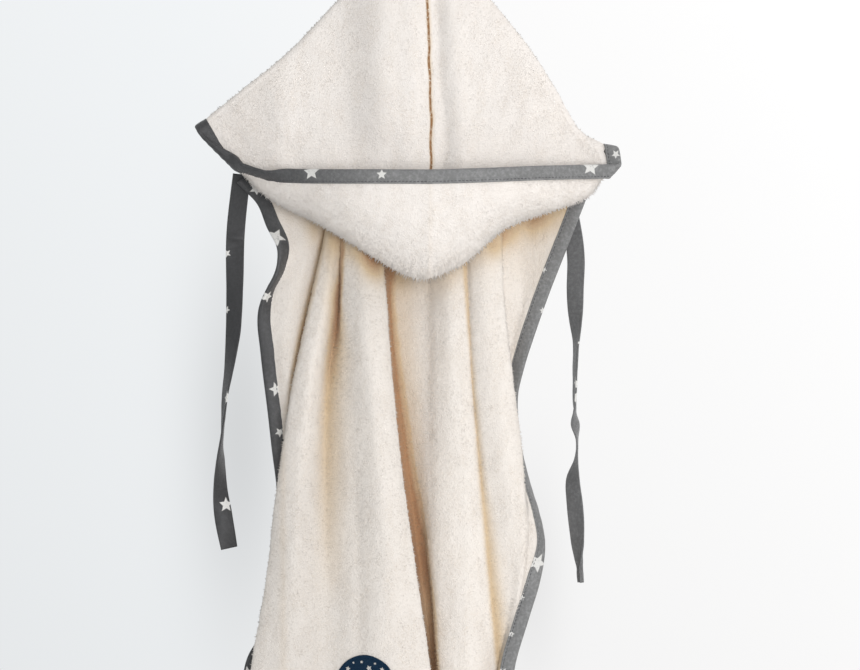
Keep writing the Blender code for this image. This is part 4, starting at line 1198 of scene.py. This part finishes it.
# Painted shade: the more the cloth round a point closes it in, the warmer and darker its colour.
wide_depth = step_up(closed_in(body, body_normals, tuple(hood_back.values())), 0.50, 1.0)
near_depth = step_up(closed_in(body, body_normals, tuple(hood_back.values()), (4, 2), 24.0, 18), 0.34, 0.92)
body_painted_shade = np.clip(0.30 * wide_depth + 0.70 * near_depth, 0, 1)
# Painted warm shade in the deep fold beside the middle pleat and on the cloth under the pouch.
BAND = FOLD_NAMES.index("floor_left")
edge_ = BAND + 0.16 + np.interp(body_down, (300, 491, 557, 607, 760), (0, 0.14, 0.62, 1.45, 1.45)) + 0.10 * noise(body_down, body_down * 0 + 2, 34, 13) + 0.03 * noise(body_down, body_down * 0, 7, 14)
band = 1 - 0.34 * step_up(body_folds[None], edge_ - 0.85, edge_ - 0.1) - 0.66 * step_up(body_folds[None], edge_ - 0.16, edge_ + 0.2)
paler = 0.24 * (1 - step_up(body_folds[None], edge_, edge_ + 0.8))
deep_side = (1 - 0.30 * step_up(body_down, 560, 610)) * (0.30 * step_up(body_folds, 8.9, 9.3) + 0.70 * step_up(body_folds, 9.1, 9.7))[None] * step_up(body_down, 255, 320)
body_painted_shade = np.maximum(body_painted_shade, np.maximum(band, paler) * deep_side)
# Painted shadow under the pouch: x, and how much.
POUCH_SHADE = ((-150, 0.04), (-104, 0.10), (-90, 0.40), (-72, 0.55), (-62, 0.40), (-52, 0.50), (-38, 0.70), (-26, 0.36),
               (-5, 0.22), (30, 0.30), (62, 0.46), (92, 0.52), (108, 0.30))
# Painted warm shade in the narrow folds: z, x of its middle, half width to the left and to the right, how much.
FOLD_SHADES = (
    ((-283, -80, 3.0, 2.0, 0.30), (-327, -88.4, 3.4, 2.4, 0.42), (-366, -98.6, 3.0, 2.4, 0.44), (-402, -106, 3.0, 2.4, 0.28),
     (-444, -114.5, 3.0, 2.4, 0.10)),
    ((-296, -65, 2.4, 1.5, 0.45), (-322, -66, 4.5, 1.6, 0.75), (-342, -67.7, 8.0, 1.9, 0.90), (-366, -71.4, 7.0, 7.5, 0.78),
     (-391, -77.2, 4.5, 14, 0.62), (-425, -79.5, 5.0, 14, 0.50), (-465, -80.0, 7.0, 15, 0.42), (-530, -78.0, 9.0, 13, 0.26),
     (-600, -74, 11, 11, 0.0)),
    ((-298, 34.2, 1.6, 1.6, 0.30), (-341, 36.8, 1.7, 2.2, 0.46), (-425, 43.6, 1.7, 3.0, 0.48), (-491, 48.8, 2.3, 4.6, 0.48),
     (-557, 54.6, 2.4, 8.5, 0.50), (-607, 60.0, 2.8, 8.5, 0.54), (-660, 66.0, 2.8, 8.5, 0.50)),
)
pouch_x = np.concatenate([np.array(HOOD_LEFT)[::-1, 3], np.array(HOOD_RIGHT)[1:, 3]])
pouch_z = np.concatenate([np.array(HOOD_LEFT)[::-1, 4], np.array(HOOD_RIGHT)[1:, 4]])
below = np.interp(body[..., 0], pouch_x, pouch_z) - body[..., 2]
much = np.interp(body[..., 0], *np.array(POUCH_SHADE, float).T)
uneven = 1 + 0.35 * noise(body_across, body_down, 16, 12)
body_painted_shade = body_painted_shade + much * uneven * np.exp(-(np.maximum(below, 0) / 19.0) ** 2)
for row in FOLD_SHADES:
    z_, x_, left_, right_, most = np.array(row, float)[::-1].T
    away = body[..., 0] - np.interp(body[..., 2], z_, x_)
    away = away / np.where(away < 0, np.interp(body[..., 2], z_, left_), np.interp(body[..., 2], z_, right_))
    body_painted_shade += np.interp(body[..., 2], z_, most) * np.exp(-away ** 2) * (0.85 + 0.3 * uneven * 0.5)
# Painted warm shade beside and under the pouch: x, z, half width, half height, how much, from which fold on.
for x_, z_, half_x, half_z, most, first in ((102, -268, 40, 17, 0.30, "return_f"), (92, -306, 24, 24, 0.08, "return_f"),
                                            (-76, -318, 8, 28, 0.24, "ridge_a"),
                                            (60, -292, 9, 13, 0.26, "pleat_5"), (-42, -306, 8, 18, 0.34, "ridge_b")):
    where_ = step_up(body_folds, FOLD_NAMES.index(first) - 0.4, FOLD_NAMES.index(first) + 0.2)[None]
    body_painted_shade += most * uneven * where_ * np.exp(-((body[..., 0] - x_) / half_x) ** 2 - ((body[..., 2] - z_) / half_z) ** 2)
body_painted_shade = np.clip(body_painted_shade, 0, 1)
# Painted grey shade on the body: a little darker left of the middle, with soft shaded places on the left pleats.
x_, z_ = body[..., 0], body[..., 2]
body_painted_grey_shade = (0.05 * (1 - step_up(x_, -10, 30)) + 0.10 * np.exp(-((x_ + 94) / 17) ** 2) * (1 - step_up(z_, -520, -400))
            + 0.09 * np.exp(-((x_ + 46) / 15) ** 2 - ((z_ + 335) / 40) ** 2)
            + 0.08 * np.exp(-((x_ + 74) / 10) ** 2 - ((z_ + 300) / 34) ** 2))
cape_body = make_cloth("cape_body_terry", body, body_normals, body_across, body_down, 100,
                       seam=np.exp(-((np.arange(ROWS) * 2.2)[:, None] / 3.0) ** 2) * np.ones((1, COLUMNS)),
                       back_step=2, inner=body_painted_shade, look=BODY_IVORY, painted_grey_shade=body_painted_grey_shade)
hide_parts("cape_body")
for side, name in ((-1, "left"), (1, "right")):
    h = hoods[side]
    # Painted shade inside the hood, where its sides close in on each other, added to the painted seam shade and kept on
    # both faces.
    inward = step_up(closed_in(h["points"], -h["normals"], (hood_back[-side],)), 0.5, 1.0)
    shows = step_up(np.arange(len(inward)), h["fold_row"] - 2, h["fold_row"] + 8)[:, None]
    h["inner"] = np.clip(inward * 0.28 * shows + h["shade"], 0, 1)
    make_cloth(f"hood_{name}_terry", h["points"], h["normals"], h["across"], h["down"],
                                   110 + side, seam=h["seam"], inner=h["inner"], outer=h["inner"], painted_grey_shade=h["painted_grey_shade"])
    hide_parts("hood_" + name)


# ---------------------------------------------------------------- make: pile of the towelling
def pile_piece(name, points, normals, across, down, inner, share, face, length, seed, look=None, painted_grey_shade=None):
    """Loose loops of the towelling over a grid: each a small closed spike rooted in the cloth.
    share is the part of the grid's cells that has one, length their height, both by cell;
    face is 1 on the side of the normals and -1 on the other."""
    chance = np.random.default_rng(seed)
    rows, columns = points.shape[:2]
    cells = np.argwhere(chance.random((rows - 1, columns - 1)) < share)
    i, j = cells[:, 0], cells[:, 1]
    s, t = chance.random(len(i)), chance.random(len(i))

    def here(values):
        s_, t_ = (s[:, None], t[:, None]) if values.ndim == 3 else (s, t)
        return ((values[i, j] * (1 - s_) + values[i + 1, j] * s_) * (1 - t_)
                + (values[i, j + 1] * (1 - s_) + values[i + 1, j + 1] * s_) * t_)

    n = unit(here(normals)) * face
    root = here(points) + n * (TERRY / 2 - 0.35)
    turn = chance.random(len(i)) * 2 * np.pi
    one = unit(np.cross(n, np.array([0.31, 0.2, 0.93])))
    other = np.cross(n, one)
    lean = (one * np.cos(turn)[:, None] + other * np.sin(turn)[:, None]) * (0.25 + 0.75 * chance.random(len(i)))[:, None]
    lean[:, 2] -= 0.35
    tall = length[i, j] * (0.5 + 0.75 * chance.random(len(i)))
    tip = root + unit(n + lean) * (tall + 0.35)[:, None]
    wide = (0.46 + 0.40 * chance.random(len(i)))[:, None]
    base = [root + (one * math.cos(a) + other * math.sin(a)) * wide for a in (0.0, 2.094, 4.189)]
    spots = np.stack(base + [tip], axis=1).reshape(-1, 3)
    first = np.arange(len(i))[:, None] * 4
    hand = np.einsum("ij,ij->i", np.cross(base[1] - base[0], base[2] - base[0]), n) > 0
    orders = ((0, 1, 3), (1, 2, 3), (2, 0, 3), (0, 2, 1))
    tris = np.concatenate([np.where(hand[:, None], first + np.array(o), first + np.array(o[::-1])) for o in orders])
    flat = np.stack([here(across), -here(down)], axis=-1) * 0.001
    # The loops are lit like the cloth they stand on, with a little of their own roundness.
    own = [unit(n + 0.8 * unit(spot - root)) for spot in base] + [unit(n + 0.25 * unit(tip - root))]
    # The loops carry the painted shade of the cloth they stand on.
    return add_piece(name, spots, [tris], look or IVORY_LOOPS, {"cloth": np.repeat(flat, 4, axis=0)},
                     {"painted_fold_shade": np.repeat(here(inner) * 0.9, 4),
                      "painted_grey_shade": np.repeat(here(inner * 0 if painted_grey_shade is None else painted_grey_shade), 4)}, own=np.stack(own, axis=1).reshape(-1, 3))


def inside_grid(rows, columns, top, foot, left, right):
    out = np.zeros((rows - 1, columns - 1))
    out[top:rows - 1 - foot, left:columns - 1 - right] = 1
    return out


open_part = inside_grid(ROWS, COLUMNS, 4, 2, 2, 2)
off_patch = np.hypot(body[..., 0] - PATCH[0], body[..., 2] - PATCH[1])[:-1, :-1] > PATCH[2] + 2.0
body_pile = pile_piece("cape_body_pile", body, body_normals, body_across, body_down, body_painted_shade,
                       0.62 * open_part * off_patch, 1, 1.75 * np.ones(open_part.shape), 120, BODY_LOOPS, body_painted_grey_shade)
body_back_pile = pile_piece("cape_body_back_pile", body, body_normals, body_across, body_down, body_painted_shade * 0,
                            0.16 * open_part, -1, 1.75 * np.ones(open_part.shape), 121, BODY_LOOPS)
for side, name in ((-1, "left"), (1, "right")):
    h = hoods[side]
    shape = h["points"].shape[:2]
    at_seam, at_edge = (0, 3) if side > 0 else (3, 0)
    open_part = inside_grid(*shape, 2, 3, at_seam if side > 0 else at_edge + 3, at_edge if side > 0 else at_seam - 3)
    # The loops stand longest on the pouch's rounded tip.
    fold = np.arange(shape[0] - 1)[:, None] - h["fold_row"]
    tip_ = np.exp(-(fold / 13.0) ** 2) * np.exp(-(np.abs(h["across"][:-1, :-1]) / 45.0) ** 2)
    lip = np.exp(-(fold / 9.0) ** 2) * np.ones(open_part.shape)
    long_ = 1.65 + 1.3 * lip + 1.9 * tip_
    beside = np.exp(-(h["across"][:-1, :-1] / 3.4) ** 2)
    if side > 0:
        open_near = inside_grid(*shape, 2, 3, 0, 3)
    else:
        open_near = inside_grid(*shape, 2, 3, 3, 0)
    near_ = (np.arange(shape[0] - 1) < h["fold_row"] + 6)[:, None]
    pile_piece(f"hood_{name}_pile", h["points"], h["normals"], h["across"], h["down"], h["inner"],
                   np.where(near_, (0.55 + 0.42 * np.maximum(np.maximum(tip_, lip), beside)) * open_near, 0.55 * open_part), 1,
                   long_ + 0.6 * beside * near_, 122 + side, painted_grey_shade=h["painted_grey_shade"])
    pile_piece(f"hood_{name}_inside_pile", h["points"], h["normals"], h["across"], h["down"], h["inner"],
                   0.60 * open_part * (1 - 0.85 * beside), -1, 1.6 * np.ones(open_part.shape), 125 + side, painted_grey_shade=h["painted_grey_shade"])


# ---------------------------------------------------------------- make: stitches
def stitch_piece(name, line, ways, ups, pitch=3.1, length=2.1, wide=0.36, high=0.26):
    """A run of short thread stitches along a line of points, a small closed bead each."""
    along = lengths_along(line)
    out, faces = [], []
    for k, start in enumerate(np.arange(2.0, along[-1] - length - 1.0, pitch)):
        ends = [np.array([np.interp(start + length * t, along, c) for c in line.T]) for t in (0.0, 0.22, 0.78, 1.0)]
        at = int(np.searchsorted(along, start + length / 2))
        up, heading = ups[at], unit(ends[-1] - ends[0])
        side_ = unit(np.cross(heading, up))
        for end, size in zip(ends, (0.35, 1.0, 1.0, 0.35)):
            out += [end + (side_ * a * wide + up * b * high) * size for a, b in ((1, 0), (0, 1), (-1, 0), (0, -1))]
        base = k * 16
        for ring_ in range(3):
            for q in range(4):
                a, b = base + ring_ * 4 + q, base + ring_ * 4 + (q + 1) % 4
                faces.append((a, b, b + 4, a + 4))
        faces.append((base + 3, base + 2, base + 1, base))
        faces.append((base + 12, base + 13, base + 14, base + 15))
    return add_piece(name, np.array(out), [np.array(faces)], DARK_THREAD)

# ---------------------------------------------------------------- make: hood's face binding
TAPE_RING, TAPE_V = ring_of(TAPE_SECTION)
TAPE_WIDE = 2 * BINDING
surfaces = {}
for side in (-1, 1):
    along, middle, last, edge = halves[side]

    def cut(o, middle=middle, last=last):
        return middle(o)[:last]
    surfaces[side] = cut
joined_along = np.concatenate([-halves[1][0][:halves[1][2]][::-1], halves[-1][0][1:halves[-1][2]]])


def face_surface(o):
    return np.concatenate([surfaces[1](o)[::-1], surfaces[-1](o)[1:]])


face_points, face_up = strip_points(face_surface, TAPE_RING, rough=0.22, seed=71, step=0.8)
# Places along the tape just past the ends of its face line, where it turns.
turn_spots = [-(lengths_along(np.array(FACE_LINE[1], float))[-1] + 8), lengths_along(np.array(FACE_LINE[-1], float))[-1] + 14]
FACE_STARS = [print_place(face_points, TAPE_V, joined_along, x, z, where) + (radius, angle) for x, z, radius, angle, where in (
    (-91.3, -236.1, 6.6, 14, (0.3, 0.75)), (-33.5, -238.4, 4.3, 90, (0.3, 0.75)), (139.4, -231.4, 7.2, 25, (0.15, 0.5)),
    (160.8, -220.1, 3.6, 8, (0.0, 0.35)), (-177.6, -201.0, 4.6, 60, (0.7, 1.0)), (-171.2, -213.7, 3.6, 20, (0.7, 1.0)))]
FACE_STARS += scattered(81, joined_along[0], turn_spots[0] - 34, TAPE_WIDE, FACE_STARS)
FACE_STARS += scattered(82, turn_spots[1] + 40, joined_along[-1], TAPE_WIDE, FACE_STARS)
FACE_STARS += [(u, 18.6, r, a) for u, r, a in ((-118, 6.9, 10), (-66, 4.3, 33), (-14, 6.9, 51), (38, 6.9, 20), (74, 4.3, 66), (128, 6.9, 5))]
cuts = [0] + [int(np.argmin(np.abs(joined_along - (spot + turn)))) for spot, turn in zip(turn_spots, (-14, 22))] + [len(joined_along) - 1]
for name, first, last in (("hood_binding_right", cuts[0], cuts[1]), ("hood_binding_front", cuts[1], cuts[2]),
                          ("hood_binding_left", cuts[2], cuts[3])):
    strip_piece(name + "_tape", face_points[first:last + 1], TAPE_V, joined_along[first:last + 1],
                                   CHARCOAL, FACE_STARS)
    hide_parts(name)

sewn_line, sewn_out = face_surface(0.45), face_up
stitches = [stitch_piece("hood_binding_stitches", sewn_line + sewn_out * 1.62, None, sewn_out),
            stitch_piece("hood_binding_back_stitches", sewn_line - sewn_out * 1.62, None, -sewn_out)]

# ---------------------------------------------------------------- make: bindings of the body
def edge_ways(edge, table):
    z = edge[:, 2]
    x, f = read(table, EDGE_COLUMNS, "free_x", z), read(table, EDGE_COLUMNS, "free_f", z)
    sewn_x, sewn_f = read(table, EDGE_COLUMNS, "sewn_x", z), read(table, EDGE_COLUMNS, "sewn_f", z)
    return unit(world(np.stack([x - sewn_x, f - sewn_f, 0 * z], axis=1)))


left_edge, right_edge, hem_edge = body[:, 0], body[::-1, -1], body[-1]
hem_along = unit(np.gradient(hem_edge, axis=0))
hem_ways = body[-1] - body[-4]
hem_ways = unit(hem_ways - hem_along * (hem_ways * hem_along).sum(axis=1)[:, None])
border = np.concatenate([left_edge, hem_edge[1:-1], right_edge])
border_ways = np.concatenate([edge_ways(left_edge, EDGE_LEFT), hem_ways[1:-1], edge_ways(right_edge, EDGE_RIGHT)])
border_along, border, border_ways = spaced(border, 1.5, border_ways)
border = blurred(border, 2)
border_ways = unit(blurred(unit(border_ways), 26))
heading = unit(blurred(np.gradient(border, axis=0), 6))
border_ways = unit(border_ways - heading * (border_ways * heading).sum(axis=1)[:, None] * 0.8)
sway = 0.5 * noise(border_along, border_along * 0, 24, 90)
border_normal = unit(np.cross(border_ways, heading))


def border_surface(o):
    return border + border_ways * o + border_normal * (sway * np.clip(o / BINDING, 0, 1))[:, None]


border_points, border_up = strip_points(border_surface, TAPE_RING, rough=0.22, seed=91, step=1.5)
left_length = lengths_along(left_edge)[-1]
hem_length = lengths_along(hem_edge)[-1]
total = border_along[-1]
BODY_STARS = [print_place(border_points, TAPE_V, border_along, x, z, where) + (radius, angle) for x, z, radius, angle, where in (
    (-121.6, -289.5, 8.6, 12, (0, 0.4)), (-138.6, -248.6, 5.6, 30, (0, 0.2)), (-128.7, -339.1, 5.4, 48, (0, 0.4)),
    (-121.5, -416.3, 6.2, 25, (0, 0.4)), (-118.7, -451.1, 4.2, 5, (0, 0.4)), (-145.5, -652.0, 5.0, 15, (0, 0.4)),
    (96.0, -559.8, 8.4, 18, (0.6, 1)), (66.5, -651.0, 4.6, 33, (0.6, 1)), (101.6, -316.7, 2.6, 10, (0.6, 1)),
    (101.2, -350.7, 2.8, 50, (0.6, 1)), (83.0, -588.6, 2.6, 66, (0.6, 1)), (74.0, -618.8, 2.8, 3, (0.6, 1)))]
BODY_STARS += scattered(92, left_length - 60, left_length + hem_length, TAPE_WIDE, BODY_STARS)
BODY_STARS += [star for star in scattered(93, 4, left_length - 60, TAPE_WIDE, BODY_STARS) if star[1] > 13.5]
BODY_STARS += [star for star in scattered(94, left_length + hem_length, total, TAPE_WIDE, BODY_STARS) if star[1] > 13.5]
one, two = (int(np.argmin(np.abs(border_along - spot))) for spot in (left_length, total - lengths_along(right_edge)[-1]))
for name, first, last in (("body_binding_left", 0, one), ("hem_binding", one, two),
                          ("body_binding_right", two, len(border_along) - 1)):
    strip_piece(name + "_tape", border_points[first:last + 1], TAPE_V, border_along[first:last + 1],
                                   CHARCOAL, BODY_STARS)
    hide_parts(name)

sewn_line = border_surface(0.45)
stitches += [stitch_piece("body_binding_stitches", sewn_line + border_up * 1.62, None, border_up),
             stitch_piece("body_binding_back_stitches", sewn_line - border_up * 1.62, None, -border_up)]

# ---------------------------------------------------------------- make: ties
TIE_RING, TIE_V = ring_of(TIE_SECTION)
ties = {}
for side, name, table, knot in ((-1, "left", TIE_LEFT, False), (1, "right", TIE_RIGHT, True)):
    z = np.arange(table[0][0], table[-1][0], -0.8)
    centre = world(np.stack([read(table, TIE_COLUMNS, "x", z) - (1.2 if side < 0 else 0.0), read(table, TIE_COLUMNS, "f", z), z], axis=1))
    turn = np.radians(read(table, TIE_COLUMNS, "turn", z))
    along, centre, turn = spaced(centre, 1.3, turn)
    turn = turn[:, 0]
    centre[:, 1] += 0.7 * noise(along, along * 0, 30, 40 + side) * step_up(along, 5, 40)
    heading = unit(np.gradient(centre, axis=0))
    ways = np.stack([np.cos(turn), -np.sin(turn), 0 * turn], axis=1)
    ways = unit(ways - heading * (ways * heading).sum(axis=1)[:, None])
    out = unit(np.cross(ways, heading))
    wide = np.ones(len(along))
    curl = 0.9 * noise(along, along * 0, 22, 44 + side) + 0.5
    if knot:
        tail = along[-1] - along
        wide = 1 - 0.34 * step_up(-tail, -34, -10) - 0.26 * np.exp(-((tail - 12) / 4.0) ** 2)
        curl = curl + 2.4 * step_up(-tail, -40, -14)
    else:
        curl = curl - 1.5 * np.exp(-((centre[:, 2] + 289.0) / 3.0) ** 2)

    def tie_surface(o, centre=centre, ways=ways, out=out, wide=wide, curl=curl):
        bow = curl * (1 - (o / 7.7) ** 2) + 0.25 * noise(along, along * 0 + o, 12, 47)
        return centre + ways * (o * wide)[:, None] + out * bow[:, None]

    points, _ = strip_points(tie_surface, TIE_RING, rough=0.18, seed=48, step=1.3)
    wanted = ((-162.8, -422.9, 6.4, 20), (-163.4, -511.7, 6.4, 44), (-163.0, -302.5, 3.6, 10), (-163.2, -349.9, 3.4, 60)) if side < 0 else (
        (127.8, -412.0, 7.4, 30), (128.2, -423.0, 5.6, 60))
    stars = [print_place(points, TIE_V, along, x, zz) + (radius, angle) for x, zz, radius, angle in wanted]
    # The print goes on over the side of the tie that is turned away here.
    ahead = unit(np.cross(ways, heading))[:, 1] < 0
    stars += [star for star in scattered(95 + side, 20, along[-1] - 6, 30.8, stars, (48, 90))
              if ahead[int(star[0] / 1.3)] == (star[1] - 7.7 > 8.0) and not (side < 0 and 110 < star[0] < 190)]
    ties[side] = (strip_piece(f"tie_{name}_tape", points, TIE_V, along, TIE_SHADED_COTTON, stars), centre, along)
    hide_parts("tie_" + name)

# ---------------------------------------------------------------- make: loop and hook
PEG_RADIUS, PEG_REACH, KNOB_RADIUS, PLATE_RADIUS, PLATE_THICK, LOOP_WIDTH = 5.0, 34.0, 9.0, 22.0, 6.0, 8.0
inside = PEG_RADIUS + 0.35 + 0.7
path = [(-7.0, -37.0), (-7.2, -27.0), (-7.0, -16.0), (-6.4, -7.0)]
path += [(-inside * math.cos(math.radians(a)), inside * math.sin(math.radians(a))) for a in range(15, 180, 15)]
path += [(6.4, -7.0), (7.0, -16.0), (7.2, -27.0), (7.0, -37.0)]
loop_f = NECK_F[0] - TERRY / 2 - 0.35 - LOOP_WIDTH / 2
loop_line = world(np.array([(x, loop_f, z) for x, z in path]))
_, loop_line = spaced(loop_line, 1.0)
loop_line = blurred(loop_line, 3)
LOOP_RING, LOOP_V = ring_of([(o * LOOP_WIDTH / 15.4, n) for o, n in TIE_SECTION])
loop_points, _ = strip_points(lambda o: loop_line + np.array([0.0, o, 0.0]), LOOP_RING, rough=0.1, seed=50, step=1.0)
loop = strip_piece("hanging_loop_tape", loop_points, LOOP_V, np.arange(len(loop_line)) * 1.0, PLAIN)
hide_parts("hanging_loop")


def turned_solid(name, profile, steps, finish_):
    """A solid of revolution about the y axis, the profile as (radius, way out of the wall)."""
    profile = np.array(profile, float)
    count = len(profile)
    angles = 2 * np.pi * np.arange(steps) / steps
    body_ = np.stack([np.stack([profile[:, 0] * math.cos(a), -profile[:, 1], profile[:, 0] * math.sin(a)], axis=1)
                      for a in angles])
    points = np.concatenate([body_.reshape(-1, 3), [[0, -profile[0, 1], 0], [0, -profile[-1, 1], 0]]])
    index = np.arange(steps * count).reshape(steps, count)
    after = np.roll(index, -1, axis=0)
    quads = np.stack([index[:, :-1], index[:, 1:], after[:, 1:], after[:, :-1]], axis=-1).reshape(-1, 4)
    first = np.stack([after[:, 0], np.full(steps, steps * count), index[:, 0]], axis=1)
    last = np.stack([index[:, -1], np.full(steps, steps * count + 1), after[:, -1]], axis=1)
    return add_piece(name, points, [quads, first, last], finish_, sharp=40)


def rounded(profile, radius=0.5):
    """The profile with each inner corner cut back to a short round."""
    profile = [np.array(p, float) for p in profile]
    out = [profile[0]]
    for before, corner, after in zip(profile, profile[1:], profile[2:]):
        r = min(radius, np.linalg.norm(corner - before) * 0.45, np.linalg.norm(after - corner) * 0.45)
        one = corner + unit(before - corner) * r
        other = corner + unit(after - corner) * r
        for t in (0.0, 0.33, 0.67, 1.0):
            out.append(one * (1 - t) ** 2 + corner * 2 * t * (1 - t) + other * t * t)
    return out + [profile[-1]]


hook = turned_solid("wall_hook_steel", rounded((
    (18.5, 0), (PLATE_RADIUS, 0), (PLATE_RADIUS, PLATE_THICK - 1.5), (PLATE_RADIUS - 1.5, PLATE_THICK),
    (PEG_RADIUS + 2, PLATE_THICK), (PEG_RADIUS, PLATE_THICK + 2), (PEG_RADIUS, PEG_REACH - 3),
    (KNOB_RADIUS - 2, PEG_REACH - 1), (KNOB_RADIUS, PEG_REACH + 1.5), (KNOB_RADIUS - 0.5, PEG_REACH + 4),
    (KNOB_RADIUS - 3, PEG_REACH + 6), (0.8, PEG_REACH + 6.5)), 0.8), 96, STEEL)
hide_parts("wall_hook")

# ---------------------------------------------------------------- make: patch
first, last = FOLD_NAMES.index("valley_b"), FOLD_NAMES.index("ridge_c")
patch_columns = (body_folds >= first) & (body_folds <= last)
region = body[:, patch_columns][ROWS * 3 // 4:]
region_normals = body_normals[:, patch_columns][ROWS * 3 // 4:]
flat_xz = region.reshape(-1, 3)[:, [0, 2]]


def on_body(x, z):
    """The body's middle and normal over x and z, from the grid points round it."""
    away = ((flat_xz - (x, z)) ** 2).sum(axis=1)
    near = np.argsort(away)[:12]
    base = region.reshape(-1, 3)[near]
    a = np.c_[np.ones(len(near)), base[:, 0] - x, base[:, 2] - z]
    fit = np.linalg.lstsq(a, base[:, 1], rcond=None)[0]
    n = np.array([fit[1], -1.0, fit[2]])
    return np.array([x, fit[0], z]), n / np.linalg.norm(n)


middle_x, middle_z, radius = PATCH
# Way out over the radius and height over the cloth, with the satin border raised.
PATCH_RINGS = ((0.0, 0.75), (0.14, 0.75), (0.28, 0.75), (0.42, 0.75), (0.56, 0.75), (0.68, 0.75), (0.78, 0.75),
               (0.86, 0.78), (0.885, 0.95), (0.905, 1.25), (0.93, 1.45), (0.955, 1.5), (0.978, 1.38), (0.993, 1.05),
               (1.0, 0.55), (0.997, 0.0), (0.97, -0.35))
steps = 180
rings, patch_flat = [], []
for share, height in PATCH_RINGS:
    for k in range(steps):
        turn = 2 * math.pi * k / steps
        wobble = 1 + 0.004 * math.sin(5 * turn) + 0.003 * math.sin(9 * turn + 1)
        ridge = 0.10 * math.sin(turn * 150) * step_up(share, 0.88, 0.93) if share < 0.999 else 0
        dx, dz = radius * share * wobble * math.cos(turn), radius * share * wobble * math.sin(turn)
        base, n = on_body(middle_x + dx, middle_z + dz)
        rings.append(base + n * (TERRY / 2 + 0.55 + height + ridge))
        patch_flat.append((dx, dz))
rings, patch_flat = np.array(rings), np.array(patch_flat)
index = np.arange(len(PATCH_RINGS) * steps).reshape(len(PATCH_RINGS), steps)
after = np.roll(index, -1, axis=1)
quads = np.stack([index[1:-1], index[2:], after[2:], after[1:-1]], axis=-1).reshape(-1, 4)
tris = np.stack([np.full(steps, index[0, 0]), index[1], after[1]], axis=1)
under, under_n = on_body(middle_x, middle_z)
points = np.concatenate([rings, [under + under_n * (TERRY / 2 + 0.2)]])
closing = np.stack([index[-1], np.full(steps, len(rings)), after[-1]], axis=1)
faces = [quads, tris, closing]
corner_ids = np.concatenate([f.ravel() for f in faces])
flat_all = np.concatenate([patch_flat, [[0.0, 0.0]]])
# Pale stars of a plain scatter over the disc: x, z from its middle, radius, angle.
PATCH_STARS = ((-13.7, 12.5, 2.1, 10), (3.7, 13.3, 2.6, 40), (14.1, 12.5, 1.9, 5), (-5.5, 4.0, 1.7, 25),
               (9.0, 2.0, 2.3, 55), (-15.0, -3.5, 2.2, 33), (0.5, -7.5, 2.5, 12), (14.5, -7.0, 1.8, 48),
               (-8.5, -14.5, 1.9, 60), (7.0, -16.0, 2.2, 20), (-9.2, 17.4, 1.1, 30), (-2.2, 18.2, 1.4, 5),
               (8.6, 17.2, 1.2, 50), (-18.3, 6.2, 1.2, 15), (-9.8, 9.0, 1.0, 42), (-0.6, 10.2, 1.0, 20), (8.2, 9.4, 1.1, 64),
               (17.4, 5.0, 1.2, 33), (1.8, 1.2, 0.9, 0), (-10.6, 0.4, 1.0, 12), (7.4, -4.4, 1.0, 48), (-4.8, -10.2, 1.1, 26))
star_map = []
for group in faces:
    uv = flat_all[group]
    centre = uv.mean(axis=1)
    there = np.full(uv.shape, 4.0)
    for u0, v0, r, angle in PATCH_STARS:
        near = np.hypot(centre[:, 0] - u0, centre[:, 1] - v0) < r + 1.6
        t = math.radians(angle)
        d = (uv[near] - (u0, v0)) / r
        there[near] = np.stack([d[..., 0] * math.cos(t) + d[..., 1] * math.sin(t),
                                d[..., 1] * math.cos(t) - d[..., 0] * math.sin(t)], axis=-1)
    star_map.append(there.reshape(-1, 2))
patch = add_piece("patch_embroidery", points, faces, NAVY,
                  {"cloth": flat_all[corner_ids] * 0.001, "star": np.concatenate(star_map)}, sharp=80)
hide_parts("patch")

# ---------------------------------------------------------------- what each soft piece is
for side in (-1, 1):
    piece, centre, along = ties[side]
